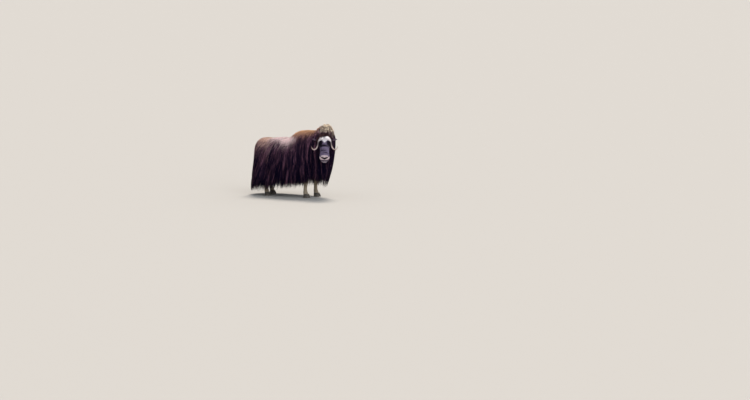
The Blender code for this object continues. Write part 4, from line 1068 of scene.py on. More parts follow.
def ear_form(name, side):
    """A cupped ear, open towards the face."""
    a, b, c = EAR_AT
    across = unit(np.array((1.0, 0.25 * side, 0.0)))
    turn = np.linspace(-1, 1, 12)
    bow = 1 - turn**2
    rings = []
    for s in np.linspace(0, 1, 26):
        half = (0.014 + 0.026 * math.sin(min(s * 1.25, 1.0) * math.pi * 0.78)) * (1 - s**4) + 0.003
        cup = 0.016 * math.sin(min(s * 1.1, 1) * math.pi)
        out = (b - 0.030 + 0.150 * s) * side
        centre = np.array((a - 0.030 * s + 0.020 * s * s, out, c + 0.010 * s))
        wide = np.concatenate([half * turn, half * turn[::-1]])[:, None]
        deep = np.concatenate([-cup * bow + 0.002, -(cup + 0.008) * bow[::-1] - 0.002])[:, None]
        rings.append(centre + wide * across - deep * DOWN)
    return loft(name, rings)


# What stands out of the skull on each side, and in its middle: place and radii
SIDE_FORMS = (
    ((0.205, 0.078, 0.010), (0.070, 0.020, 0.020)),  # cheekbone
    ((0.130, 0.082, -0.085), (0.080, 0.028, 0.062)),  # jaw
    ((0.452, 0.052, 0.010), (0.042, 0.036, 0.029)),  # wing of the nose
    ((0.466, 0.050, -0.034), (0.031, 0.045, 0.019)),  # lip
)
MIDDLE_FORMS = (
    ((0.464, 0.0, -0.092), (0.035, 0.058, 0.030)),  # chin
    ((0.290, 0.0, 0.050), (0.130, 0.052, 0.022)),  # bridge
)


def head_forms():
    forms = []
    for side in (1, -1):
        look, _, up = gaze_axes(side)
        eye = mirrored(EYE_AT, side)
        forms.append((eye - look * 0.014, (0.042, 0.033, 0.034)))  # orbit
        forms.append((eye, (EYE_RADIUS + 0.0050,) * 3))  # lids
        forms.append((eye - look * 0.008 + up * 0.016, (0.036, 0.020, 0.016)))  # brow
        forms += [(mirrored(place, side), radii) for place, radii in SIDE_FORMS]
    return [ball("form", place, radii) for place, radii in (*forms, *MIDDLE_FORMS)]


def folds(points):
    """How far the skin of the face rises and sinks: folds of the bridge, lips and lids."""
    a, b, c = np.moveaxis(points, -1, 0)
    side = np.abs(b)
    top = ease((c - 0.01) / 0.03)
    flank = ease((side - 0.05) / 0.02)
    lift = np.zeros(len(a))
    # shallow cross folds over the bridge, bowed down in the middle
    for at, depth in ((0.305, 0.0012), (0.338, 0.0020), (0.366, 0.0022), (0.392, 0.0016)):
        bowed = a - at + b * b
        lift -= depth * np.exp(-((bowed / 0.0055) ** 2)) * top * ease((0.075 - side) / 0.03)
    # furrow under the eye and the edge of the cheek muscle
    tear = a - 0.178 - 0.6 * (0.060 - c)
    lift -= 0.004 * np.exp(-((tear / 0.012) ** 2)) * bump(c, 0.015, 0.060, 0.02) * flank
    cheek = a - 0.235 + 0.5 * (c + 0.05)
    lift -= 0.004 * np.exp(-((cheek / 0.018) ** 2)) * bump(c, -0.10, -0.01, 0.03) * flank
    # groove of the upper lip
    groove = np.exp(-((b / 0.0045) ** 2)) * ease((a - 0.470) / 0.02)
    lift -= 0.0035 * groove * bump(c, -0.048, -0.012, 0.01)
    # the lips roll over the line of the mouth
    mouth = mouth_line(np.minimum(side, 0.085)) + 0.010 * ease((0.40 - a) / 0.06)
    lift -= 0.0085 * np.exp(-(((c - mouth) / 0.0055) ** 2)) * ease((a - 0.345) / 0.03)
    return lift


def head_skin():
    """The head without wool, fine enough to carry lids, nostrils and folds."""
    stations = np.concatenate([np.linspace(-0.075, 0.455, 80), np.linspace(0.460, 0.503, 12)])
    head = loft("head_skin", [skull_ring(a, -0.0035) for a in stations])
    combine(head, "UNION", head_forms())
    run_modifier(head, "REMESH", mode="VOXEL", voxel_size=0.004, use_smooth_shade=True)
    run_modifier(head, "SMOOTH", factor=0.6, iterations=12)
    parts = []
    for side in (1, -1):
        parts += [eyelid("upper_lid", side, 1), eyelid("lower_lid", side, -1), ear_form("ear", side)]
    cutters = [ball("socket", mirrored(EYE_AT, side), (EYE_RADIUS + 0.0004,) * 3) for side in (1, -1)]
    cutters += [eye_opening(side) for side in (1, -1)]
    s = np.linspace(0, 1, 13)
    path = evenly(NOSTRIL, s)
    path[:, 2] -= 0.004 * np.sin(s * math.pi)
    radii = np.interp(s, (0, 0.3, 0.75, 1), (0.0035, 0.0085, 0.0105, 0.0050))
    cutters += [tube("nostril", path * (1, side, 1), radii, 14) for side in (1, -1)]
    for cutter in cutters:
        combine(head, "DIFFERENCE", [cutter])
    combine(head, "UNION", parts)
    run_modifier(head, "REMESH", mode="VOXEL", voxel_size=0.0029, use_smooth_shade=True)
    run_modifier(head, "SMOOTH", factor=0.5, iterations=2)
    points = coordinates(head.data)
    points += triples(head.data.vertex_normals, "vector") * folds(points)[:, None]
    set_coordinates(head.data, from_head(points))
    return head


def make_skin():
    """One closed skin for all the flesh, joined without a seam."""
    parts = [tail_skin()]
    for side, word in ((1, "left"), (-1, "right")):
        parts.append(leg_skin(f"foreleg_{word}", FORELEG, side))
        parts.append(leg_skin(f"hindleg_{word}", HINDLEG, side))
    parts.append(head_skin())
    return tidy(combine(body_skin(), "UNION", parts))


def paint_skin(skin):
    """Markings and materials of the skin, the same as those of the coat over it."""
    mesh = skin.data
    points = coordinates(mesh)
    a, b, c = on_head(points)
    on_face = (a > -0.01) & (a < 0.56) & (np.abs(b) < 0.27) & (c > -0.20)
    low = (points[:, 2] < 0.47) & ~on_face
    # the skin under the long coat is in its shade
    face, body = head_marks(points), 0.70 * body_marks(points, crest_fall(points))
    stocking = ease((points[:, 2:] - 0.34) / 0.06) * np.array((1.0, 0.0, 0.0))
    mask_attribute(mesh, np.where(on_face[:, None], face, np.where(low[:, None], stocking, body)))
    bare = face[:, 2] * on_face
    # dark tones, and the low along that darkens like a hair's root, paint the shade under the hair on
    # the skin; the bare muzzle gets less of it
    tones = np.where(on_face, 0.26 + 0.15 * bare, np.where(low, 0.35, 0.06))
    point_attribute(mesh, "tone", tones)
    depths = np.where(on_face, 0.12 + 0.25 * bare, np.where(low, 0.15, 0.0))
    point_attribute(mesh, "along", depths)
    mesh.materials.clear()
    for material in (GUARD_HAIR, FACE_HAIR, LEG_HAIR):
        mesh.materials.append(material)
    corner = np.empty(len(mesh.polygons), np.int32)
    mesh.polygons.foreach_get("loop_start", corner)
    vertex = np.empty(len(mesh.loops), np.int32)
    mesh.loops.foreach_get("vertex_index", vertex)
    first = vertex[corner]
    kinds = np.where(on_face[first], 1, np.where(low[first], 2, 0))
    mesh.polygons.foreach_set("material_index", kinds.astype(np.int32))
    smooth(mesh)


# ---------------------------------------------------------------- short hair on the skin
TUFTS = {
    "face_hair": 15800, "chin_hair": 900, "cheek_hair": 3200, "crown_wool": 2500,
    "forehead_tuft": 2900, "ridge_hair": 3050, "ear_hair": 2000, "leg_hair": 4300, "belly_hair": 1000,
}
CLUMP = 16  # tufts drawn together in one clump of wool
OVER_HORN = 1.22  # how far outside a horn's base its wool lies, for the base's own size


def faces_of(mesh):
    """Centre, outward normal and area of each triangle of a mesh."""
    points = coordinates(mesh)
    mesh.calc_loop_triangles()
    corners = np.empty(len(mesh.loop_triangles) * 3, np.int32)
    mesh.loop_triangles.foreach_get("vertices", corners)
    a, b, c = np.moveaxis(points[corners.reshape(-1, 3)], 1, 0)
    cross = np.cross(b - a, c - a)
    area = np.linalg.norm(cross, axis=1) / 2
    return a, b, c, unit(cross), area


def scatter(dice, skin_faces, count, weight):
    """Random roots on the skin, as many in each place as its weight asks for."""
    a, b, c, normal, area = skin_faces
    share = area * weight((a + b + c) / 3, normal)
    pick = dice.choice(len(share), count, p=share / share.sum())
    u, v = dice.uniform(0, 1, (2, count))
    flip = u + v > 1
    u, v = np.where(flip, 1 - u, u), np.where(flip, 1 - v, v)
    points = a[pick] + (b - a)[pick] * u[:, None] + (c - a)[pick] * v[:, None]
    return points, normal[pick]


def scatter_on_head(dice, skin_faces, count, weight):
    """Random roots on the head, with their a, b and c, which the weight reads too."""
    points, normal = scatter(dice, skin_faces, count, lambda at, _: weight(*on_head(at)))
    return points, normal, *on_head(points)


def grown(dice, points, normal, way, length, lean, droop, steps, curl=0.0, turns=1.0):
    """Hair that leaves the skin along way, leans off it and droops: its paths and out directions."""
    along = unit(way - normal * (way * normal).sum(-1, keepdims=True))
    lean = np.radians(lean)[:, None]
    start = unit(along * np.cos(lean) + normal * np.sin(lean))[:, None]
    droop = np.broadcast_to(droop, len(points))[:, None, None]
    reach = length[:, None, None]
    out = np.repeat(normal[:, None], steps, 1)
    s = np.linspace(0, 1, steps)[None, :, None]
    fall = ease(s) * s * 0.5
    path = start * (s - fall * droop) + DOWN * fall * droop
    path = path - out * (s**2 * 0.45 * np.sin(lean)[..., None]) * (1 - droop)
    path = points[:, None] - out * np.minimum(0.0020, 0.09 * reach) + path * reach
    if np.any(curl):
        side = np.cross(normal, along)[:, None]
        phase = dice.uniform(0, 2 * math.pi, len(points))[:, None, None] + s * turns * 2 * math.pi
        path = path + curl * ease(s * 2) * (np.cos(phase) * side + np.sin(phase) * out)
    return path, out


def turned(dice, way, normal, spread_by):
    """way turned a little at random about the normal."""
    angle = dice.normal(0, spread_by, len(way))[:, None]
    return way * np.cos(angle) + np.cross(normal, way) * np.sin(angle)


def combed(dice, normal, spread_by, *flow):
    """The lie of the head's hair, from its flow along a, b and c."""
    return turned(dice, unit(columns(*flow) @ HEAD_AXES.T), normal, spread_by)


def mixed_widths(dice, width, count, low=0.6):
    return width * dice.uniform(low, 1.25, count)


def clumped(dice, points, path, out, strength):
    """Draws tufts together into rounded clumps.

    Gives the paths, each tuft's clump and how near it is to the middle of it.
    """
    middles = points[dice.choice(len(points), len(points) // CLUMP, replace=False)]
    gap = np.linalg.norm(points[:, None] - middles[None], axis=-1)
    number = gap.argmin(1)
    near = gap.min(1)
    share = 1 - ease(near / (2.2 * np.median(near)))
    pull = middles[number] - points
    pull = pull - out[:, 0] * (pull * out[:, 0]).sum(-1, keepdims=True)
    s = ease(np.linspace(0, 1, path.shape[1]) * 1.3)[None, :, None]
    strength = np.asarray(strength)[:, None, None]
    path = path + strength * s * (0.60 * pull[:, None] + 0.016 * share[:, None, None] * out)
    return path, number, share


def make_face_hair(skin_faces):
    """Short flat hair of the face, finest on the muzzle."""
    dice = np.random.default_rng(31)

    def weight(a, b, c):
        on = ease((a - 0.100) / 0.02) * (np.abs(b) < 0.125) * (c > -0.17) * (a < 0.52)
        on = on * (1 - 0.8 * ease((-0.060 - c) / 0.02) * ease((0.40 - a) / 0.03))
        return on * (0.6 + 1.2 * ease((c + 0.02) / 0.04)) * (1 + 1.3 * ease((a - 0.42) / 0.02))

    points, normal, a, b, c = scatter_on_head(dice, skin_faces, TUFTS["face_hair"], weight)
    n, side, sign = len(a), np.abs(b), np.sign(b)
    from_eye = to_head(points) - mirrored(EYE_AT, sign)
    near = np.exp(-((np.linalg.norm(from_eye, axis=1) / 0.040) ** 2))[:, None]
    flow = columns(0.9, sign * 0.35 * ease(side / 0.05), -0.15) * (1 - near) + unit(from_eye) * near
    way = combed(dice, normal, 0.16, *flow.T)
    clear = np.linalg.norm(from_eye - mirrored(unit(np.array(GAZE)), sign) * 0.014, axis=1)
    open_eye = ease((clear - 0.020) / 0.02)
    bare = nose_gap(a, side, c)
    mouth = np.abs(c - mouth_line(side)) + (a < 0.37)
    muzzle = ease((a - 0.43) / 0.04)
    size = (0.022 - 0.012 * muzzle) * (0.30 + 0.70 * open_eye) * (0.40 + 0.60 * ease(bare / 0.012))
    size = size * (0.45 + 0.55 * ease((mouth - 0.004) / 0.010))
    length = size * dice.uniform(0.75, 1.25, n)
    path, out = grown(dice, points, normal, way, length, dice.uniform(8, 18, n), 0.0, 3)
    path = path + out * (0.0006 * dice.uniform(0, 1, n))[:, None, None]
    # lighter on the head's left side, except on the muzzle: painted light from that side
    tone = dice.normal(0.47, 0.16, n) + 0.22 * np.clip(b / 0.07, -1, 1) * (1 - muzzle)
    width = (0.0038 - 0.0018 * muzzle) * (0.55 + 0.45 * open_eye)
    keep = (clear > 0.0165) & (bare > 0.001) & (mouth > 0.0055)
    marks = head_marks(points)
    uv = head_uv(points)
    return tuft_piece("face_hair", FACE_HAIR, uv, path, out, width, tone, marks, 0.35, keep)


def make_chin_hair(skin_faces):
    """Grey bristles of the chin and lower lip."""
    dice = np.random.default_rng(38)

    def weight(a, b, c):
        return (a > 0.425) * (a < 0.52) * (c < -0.068) * (c > -0.20) * (np.abs(b) < 0.085)

    points, normal, a, b, c = scatter_on_head(dice, skin_faces, TUFTS["chin_hair"], weight)
    n = len(a)
    way = turned(dice, DOWN + 0.3 * normal, normal, 0.25)
    length = dice.uniform(0.024, 0.046, n)
    lean = dice.uniform(20, 45, n)
    path, out = grown(dice, points, normal, way, length, lean, 0.7, 5, 0.001, 0.8)
    tone = dice.normal(0.62, 0.18, n)
    # the bristles nearest the lower lip are darker: painted shade under the lip
    near_lip = ease((c + 0.088) / 0.018)
    marks = columns(0.0, 0.70 * near_lip, 0.48 * (1 - near_lip))
    width = mixed_widths(dice, 0.0026, n, 0.7)
    return tuft_piece("chin_hair", FACE_HAIR, head_uv(points), path, out, width, tone, marks)


def make_cheeks(skin_faces):
    """Long hair of the cheeks, jaw and throat, that joins the face to the mane."""
    dice = np.random.default_rng(32)

    def weight(a, b, c):
        b = np.abs(b)
        side = ease((b - 0.068) / 0.015) * bump(a, -0.02, 0.250, 0.04) * (c < 0.030)
        jaw = ease((b - 0.072) / 0.012) * bump(a, 0.20, 0.385, 0.03) * (c < -0.028)
        throat = (c < -0.080) * bump(a, 0.0, 0.425, 0.02)
        return (b < 0.14) * (c > -0.21) * np.maximum(np.maximum(side, jaw), throat * 1.1)

    points, normal, a, b, c = scatter_on_head(dice, skin_faces, TUFTS["cheek_hair"], weight)
    n = len(a)
    way = combed(dice, normal, 0.20, -0.62, np.sign(b) * 0.2, -0.8)
    throat = ease((-0.075 - c) / 0.03)
    fore = ease((a - 0.06) / 0.28)
    size = 0.125 - 0.080 * fore + 0.045 * throat * (1 - 0.4 * fore)
    length = size * dice.uniform(0.65, 1.15, n)
    lean = dice.uniform(12, 30, n) + 10 * throat
    path, out = grown(dice, points, normal, way, length, lean, 0.80, 6, 0.003, 1.1)
    tone = dice.normal(0.12, 0.08, n) + 0.35 * (dice.uniform(0, 1, n) > 0.93)
    width = mixed_widths(dice, 0.0044, n) * (1 - 0.3 * fore)
    return tuft_piece("cheek_hair", GUARD_HAIR, head_uv(points), path, out, width, tone)


def over_horn_base(paths):
    """Lays tufts over the broad bases of the horns, and says which are rooted clear of them."""
    a, b, c = on_head(paths)
    side = np.abs(b)
    base = HORN[:5]
    at_a, at_c, half_a, half_c = [np.interp(side, base[:, 1], base[:, k]) for k in (0, 2, 3, 4)]
    outside = 1 - ease((base[-1, 1] + 0.004 - side) / 0.004)
    gap = np.hypot((a - at_a) / half_a, (c - at_c) / half_c) + 10 * outside
    push = np.maximum(OVER_HORN / np.maximum(gap, 0.05) - 1, 0)
    offset = columns((a - at_a) * push, 0.0, (c - at_c) * push)
    return paths + offset @ HEAD_AXES.T, (gap[:, 0] > 1.02) & (push.max(1) < 2.5)


def make_crown(skin_faces):
    """Wool of the crown behind the horns, and the pale tuft between them."""
    dice = np.random.default_rng(33)

    def behind_horns(a, b, c):
        right = ease((a + 0.005) / 0.02) * bump(b, -0.105, -0.030, 0.01)
        return (a < 0.040) * (a > -0.09) * (c > -0.015) * (np.abs(b) < 0.125) * (0.33 + 0.67 * right)

    points, normal, a, b, c = scatter_on_head(dice, skin_faces, TUFTS["crown_wool"], behind_horns)
    n, right, front = len(a), ease(-b / 0.02), ease(a / 0.03)
    way = combed(dice, normal, 0.5, 0.25 + 0.60 * right, np.sign(b) * (0.2 + 6 * np.abs(b)), 0.1)
    length = dice.uniform(0.050, 0.085, n) * (1 - (0.45 - 0.66 * right) * front)
    lean = dice.uniform(35, 75, n) - 15 * front
    path, out = grown(dice, points, normal, way, length, lean, 0.35, 6, 0.007, 1.5)
    path, clump, share = clumped(dice, points, path, out, np.ones(n))
    path, keep = over_horn_base(path)
    points, path, out, clump, share = [part[keep] for part in (points, path, out, clump, share)]
    n = len(path)
    marks = body_marks(path, np.ones(path.shape[:2]))
    marks[..., 1] = np.maximum(marks[..., 1], 0.25)
    own = dice.uniform(0, 1, n)[clump]
    # the middles of the clumps are lighter: painted highlight
    tone = dice.normal(0.09, 0.07, n) + 0.25 * marks[:, 3, 2] + 0.26 * own**2 * share
    width = mixed_widths(dice, 0.0055, n)
    uv = head_uv(points)
    wool = tuft_piece("crown_wool", GUARD_HAIR, uv, path, out, width, tone, marks, 0.5)

    def between_horns(a, b, c):
        b = np.abs(b)
        tongue = np.interp(a, (0.02, 0.090, 0.112, 0.138, 0.154), (0.058, 0.058, 0.034, 0.017, 0.003))
        between = (a > 0.018) * (a < 0.154) * (b < tongue) * (c > 0.04)
        fringe = (a > 0.080) * (a < 0.101) * (b < 0.108) * (c > 0.0) * 1.3
        return np.maximum(between, fringe)

    points, normal, a, b, c = scatter_on_head(dice, skin_faces, TUFTS["forehead_tuft"], between_horns)
    n = len(a)
    way = combed(dice, normal, 0.35, 0.95, b * 4, 0.0)
    inner = ease((0.050 - np.abs(b)) / 0.02)
    behind = ease((0.100 - a) / 0.05) * inner
    length = dice.uniform(0.75, 1.2, n) * (0.020 + 0.030 * behind + 0.006 * inner)
    lean = dice.uniform(12, 28, n) + 42 * behind
    path, out = grown(dice, points, normal, way, length, lean, 0.15, 5, 0.0025, 1.2)
    # lighter on the head's left side: painted light from that side
    tone = dice.normal(0.93, 0.12, n) + 0.10 * ease(b / 0.02) - 0.08 * ease(-b / 0.02)
    tone = np.clip(tone + 0.15 * ease((a - 0.105) / 0.02), 0, 1)
    start = ease((a - pale_from(b)) / 0.014 + 0.5)
    width = mixed_widths(dice, 0.0036, n)
    marks = columns(start, 1 - start, 0.0)
    uv = head_uv(points)
    return [wool, tuft_piece("forehead_tuft", FACE_HAIR, uv, path, out, width, tone, marks, 0.5)]


def make_ridge(skin_faces):
    """Soft hair along the top of the back, the hump and the neck, over the parting of the coat."""
    dice = np.random.default_rng(37)

    def weight(points, normal):
        crest = cubic(SPINE[:, 0], SPINE[:, CREST], points[:, 0])
        a, b, c = on_head(points)
        head = (a > -0.09) & (np.abs(b) < 0.13) & (np.abs(c) < 0.2)
        high = ease((points[:, 2] - crest + 0.090) / 0.03) * (normal[:, 2] > 0.25)
        return high * ~head * (points[:, 0] < 0.95)

    points, normal = scatter(dice, skin_faces, TUFTS["ridge_hair"], weight)
    x, y, _ = points.T
    n = len(x)
    side = np.clip((y - cubic(SPINE[:, 0], SPINE[:, 1], x)) / 0.06, -1, 1)
    dome = ease((x - 0.54) / 0.10)
    hump = bump(x, 0.08, 0.60, 0.12)
    way = turned(dice, columns(-0.8 + 0.5 * dome, 0.55 * side, 0.0), normal, 0.28 + 0.55 * dome)
    length = (0.058 + 0.020 * hump - 0.014 * dome) * dice.uniform(0.7, 1.2, n)
    lean = dice.uniform(8, 20, n) + 6 * hump + 2 * dome
    curl, turns = [part[:, None, None] for part in (0.0015 + 0.0085 * dome, 1.1 + 0.3 * dome)]
    droop = 0.25 + 0.35 * dome
    path, out = grown(dice, points, normal, way, length, lean, droop, 6, curl, turns)
    path, clump, share = clumped(dice, points, path, out, 0.25 + 0.75 * dome)
    uneven = mottle(path, 0.075) - 0.45
    swell = DOME_LUMPS * uneven - 0.006 + DOME_PUFF * bump(crest_fall(path), 0.07, 0.17, 0.06)
    path = path + out * (dome[:, None] * swell)[..., None]
    fall = crest_fall(points)
    jitter = scattered_by(dice, n)
    marks = body_marks(path + jitter, (fall + dice.normal(0, 0.03, n))[:, None])
    # painted light: hair on the hump and in the saddle and rust is lighter, and on the dome the middles
    # of the clumps and the tops of the lumps are lighter, the gaps darker, with more cream in the
    # clumps' middles
    tone = dice.normal(0.22, 0.12, n) + 0.35 * marks[:, 2:5, :2].max(-1).mean(-1) + 0.25 * hump
    own = dice.uniform(0, 1, n)[clump]
    tone = tone + dome * (0.45 * own**1.5 * share + 0.8 * uneven[:, 3] - 0.05)
    marks[..., 2] *= (0.35 + 0.65 * own[:, None]) * (0.55 + 0.45 * share[:, None])
    width = mixed_widths(dice, 0.0046, n, 0.55) * (1 + 0.25 * dome)
    # laps run forwards on the left side and back on the right
    part = np.clip((x + 0.5) / 1.225, 0, 1)
    uv = body_uv(np.where(side > 0, part, 3 - part), fall)
    return tuft_piece("ridge_hair", GUARD_HAIR, uv, path, out, width, tone, marks)


def make_ear_hair(skin_faces):
    """Soft hair of the ears, with a pale fringe round the hollow."""
    dice = np.random.default_rng(34)

    def weight(a, b, c):
        b = np.abs(b)
        return (b > 0.110) * (b < 0.27) * (a > -0.06) * (a < 0.08) * (c > -0.06) * (c < 0.05)

    points, normal, a, b, c = scatter_on_head(dice, skin_faces, TUFTS["ear_hair"], weight)
    n = len(a)
    way = combed(dice, normal, 0.25, -0.15, np.sign(b), -0.25)
    length = dice.uniform(0.028, 0.046, n) * (1 - 0.4 * ease((np.abs(b) - 0.14) / 0.08))
    lean = dice.uniform(8, 24, n)
    path, out = grown(dice, points, normal, way, length, lean, 0.45, 5, 0.001, 0.8)
    inside = ease((normal @ HEAD_AXES[:, 2]) / 0.4)
    tone = dice.normal(0.14, 0.10, n) + 0.45 * inside * dice.uniform(0, 1, n)
    width = mixed_widths(dice, 0.0038, n)
    marks = columns(0.10 * inside, 0.0, 0.0)
    return tuft_piece("ear_hair", GUARD_HAIR, head_uv(points), path, out, width, tone, marks)


def make_leg_hair(skin_faces):
    """Short pale hair of the lower legs, a little longer over the coronet."""
    dice = np.random.default_rng(35)

    def weight(points, normal):
        z = points[:, 2]
        on = (z < 0.52) * (z > HOOF_TOP - 0.002) * (normal[:, 2] > -0.9)
        return on * (0.35 + 0.65 * ease((0.36 - z) / 0.08))

    points, normal = scatter(dice, skin_faces, TUFTS["leg_hair"], weight)
    x, y, z = points.T
    n = len(z)
    way = turned(dice, DOWN + 0.12 * normal, normal, 0.15)
    high = ease((z - 0.30) / 0.08)
    coronet = ease((0.105 - z) / 0.03)
    length = (0.024 + 0.045 * high + 0.010 * coronet) * dice.uniform(0.75, 1.25, n)
    lean = dice.uniform(8, 22, n) + 8 * coronet
    path, out = grown(dice, points, normal, way, length, lean, 0.3, 4)
    path[..., 2] = np.maximum(path[..., 2], 0.010)
    tone = dice.normal(0.55, 0.20, n) - 0.25 * high
    uv = np.zeros((n, 2))
    for number in range(4):
        mine = ((x < 0) * 2 + (y < 0)) == number
        uv[mine] = leg_uv(points[mine], number)
    marks = columns(high, 0.0, 0.0)
    return tuft_piece("leg_hair", LEG_HAIR, uv, path, out, 0.0042 + 0.0010 * high, tone, marks)


def make_belly_hair(skin_faces):
    """Hair of the underside, which the skirts hide from the side."""
    dice = np.random.default_rng(36)

    def weight(points, normal):
        z = points[:, 2]
        return (normal[:, 2] < -0.2) * (z > 0.45) * (z < 0.80) * (np.abs(points[:, 0]) < 0.80)

    points, normal = scatter(dice, skin_faces, TUFTS["belly_hair"], weight)
    x, y, _ = points.T
    n = len(x)
    way = turned(dice, columns(-0.6, np.sign(y) * 0.5, -0.2), normal, 0.5)
    length = dice.uniform(0.09, 0.19, n)
    lean = dice.uniform(25, 55, n)
    path, out = grown(dice, points, normal, way, length, lean, 0.9, 6, 0.005, 1.2)
    tone = dice.normal(0.10, 0.08, n)
    width = mixed_widths(dice, 0.0065, n, 0.7)
    uv = columns(0.02 + 0.9 * (x - x.min()) / np.ptp(x), 0.62 + 0.02 * (y > 0))
    keep = ~in_the_way(path)
    return tuft_piece("belly_hair", GUARD_HAIR, uv, path, out, width, tone, keep=keep)


# ---------------------------------------------------------------- horns, eyes, hooves
def make_horn(word, side, material):
    """A flat boss on the forehead that turns into a round, hooked horn."""
    rows = evenly(HORN, np.linspace(0, 1, 170))
    path = rows[:, :3]
    along = unit(np.gradient(path, axis=0))
    run = np.concatenate([[0.0], np.cumsum(np.linalg.norm(np.diff(path, axis=0), axis=1))])
    turn = around(56)[:, None]
    dice = np.random.default_rng(41)
    waves = [(dice.uniform(2, 12), dice.uniform(20, 90), dice.uniform(0, 6.3)) for _ in range(14)]
    rings, wide = [], np.array((1.0, 0.0, 0.0))
    for point, way, (half, thick), at in zip(path, along, rows[:, 3:], run):
        wide = unit(wide - way * wide.dot(way))
        boss = float(ease((0.13 - at) / 0.05))
        # growth rings 11 mm apart on the horn, and rough cracks on the boss
        ridge = 1 - 0.016 * (0.5 + 0.5 * np.cos(at * 2 * math.pi / 0.011)) * (1 - boss)
        rough = sum(np.sin(round(k) * turn + w * at + p) / (1 + 0.12 * k) for k, w, p in waves) / 6
        cracks = 1 + boss * 0.040 * rough - boss * 0.06 * np.maximum(rough - 0.5, 0)
        ring = np.cos(turn) * wide * half + np.sin(turn) * np.cross(way, wide) * thick
        rings.append((point + ring * ridge * cracks) * (1, side, 1))
    obj = loft(f"horn_{word}_keratin", from_head(rings) + SHIFT)
    mesh = obj.data
    local = to_head(coordinates(mesh) - SHIFT) * (1, side, 1)
    nearest = ((local[:, None] - path[None]) ** 2).sum(-1).argmin(1)
    away = local - path[nearest]
    point_attribute(mesh, "run", run[nearest] / run[-1])
    round_it = (away**2).sum(-1) ** 0.5 * np.sign(away[:, 2])
    fibre = columns(run[nearest] * 0.12, away[:, 0], round_it)
    point_attribute(mesh, "fibre", fibre, "FLOAT_VECTOR", "vector")
    smooth(mesh)
    mesh.materials.append(material)
    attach(obj, "root")
    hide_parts(f"horn_{word}")


def horn_material():
    """Horn: layered keratin, rough and flaking on the boss and polished towards the tip."""
    material, tree, shader = new_material("horn_keratin")
    run = add(tree, "ShaderNodeAttribute", attribute_name="run").outputs["Fac"]
    place = add(tree, "ShaderNodeTexCoord").outputs["Object"]
    ramp = add(tree, "ShaderNodeValToRGB", {"Fac": run})
    # the dark grey band from 0.35 to 0.47 of the way along is painted shade on the horn's upper arm
    stops = (
        (0.0, "#f6f0f2"), (0.25, "#eee4e6"), (0.35, "#665a60"), (0.47, "#6a5d62"), (0.60, "#c4b0ab"),
        (0.90, "#b9a29b"), (0.99, "#5b4a43"),
    )
    for i, (at, code) in enumerate(stops):
        stop = ramp.color_ramp.elements[i] if i < 2 else ramp.color_ramp.elements.new(at)
        stop.position, stop.color = at, linear(code)
    # growth fibres that run along the horn, 4 mm apart, and blotches 30 mm across
    grain = add(tree, "ShaderNodeAttribute", attribute_name="fibre").outputs["Vector"]
    thin = {"Vector": grain, "Scale": 250.0, "Detail": 5.0, "Roughness": 0.65}
    fibre = add(tree, "ShaderNodeTexNoise", thin).outputs[0]
    blotch = add(tree, "ShaderNodeTexNoise", {"Vector": place, "Scale": 34.0, "Detail": 3.0}).outputs[0]
    dirt = add(tree, "ShaderNodeMapRange", remap(fibre, 0.50, 0.70, 0.0, 0.45)).outputs[0]
    stain = add(tree, "ShaderNodeMapRange", remap(blotch, 0.45, 0.75, 0.0, 0.40)).outputs[0]
    dirty = {0: dirt, 6: ramp.outputs[0], 7: linear("#8e7a74")}
    stained = {0: stain, 6: add(tree, "ShaderNodeMix", dirty, **MIX).outputs[2], 7: linear("#a18a82")}
    colour = add(tree, "ShaderNodeMix", stained, **MIX).outputs[2]
    gloss = add(tree, "ShaderNodeMapRange", remap(run, 0.2, 0.9, 0.62, 0.34)).outputs[0]
    dent = add(tree, "ShaderNodeBump", {"Height": fibre, "Strength": 1.0, "Distance": 0.0035})
    plug(tree, shader, {"Base Color": colour, "Roughness": gloss, "Normal": dent.outputs[0]})
    return material


def eye_material():
    """A wet cornea over a dark brown iris with a long level pupil."""
    material, tree, shader = new_material("eye_cornea")
    look = add(tree, "ShaderNodeAttribute", attribute_name="look").outputs["Vector"]
    split = add(tree, "ShaderNodeSeparateXYZ", {"Vector": look}).outputs
    flat = add(tree, "ShaderNodeCombineXYZ", {"X": split[0], "Y": split[1], "Z": 0.0}).outputs[0]
    away = add(tree, "ShaderNodeVectorMath", {0: flat}, operation="LENGTH").outputs["Value"]
    bar = add(tree, "ShaderNodeVectorMath", {0: flat, 1: (1.0, 2.3, 1.0)}, operation="MULTIPLY")
    slit = add(tree, "ShaderNodeVectorMath", {0: bar.outputs[0]}, operation="LENGTH").outputs["Value"]
    pupil = add(tree, "ShaderNodeMapRange", remap(slit, 0.34, 0.42, 1.0, 0.0)).outputs[0]
    white = add(tree, "ShaderNodeMapRange", remap(away, 0.80, 0.92, 0.0, 1.0)).outputs[0]
    rays = add(tree, "ShaderNodeTexNoise", {"Vector": look, "Scale": 9.0, "Detail": 4.0}).outputs[0]
    colour = linear("#0e0806")
    for mask, code in ((rays, "#38200f"), (pupil, "#040304"), (white, "#1e1513")):
        colour = add(tree, "ShaderNodeMix", {0: mask, 6: colour, 7: linear(code)}, **MIX).outputs[2]
    wet = {"Roughness": 0.06, "IOR": 1.376, "Specular IOR Level": 0.14}
    film = {"Coat Weight": 0.12, "Coat Roughness": 0.03}
    plug(tree, shader, {"Base Color": colour} | wet | film)
    return material


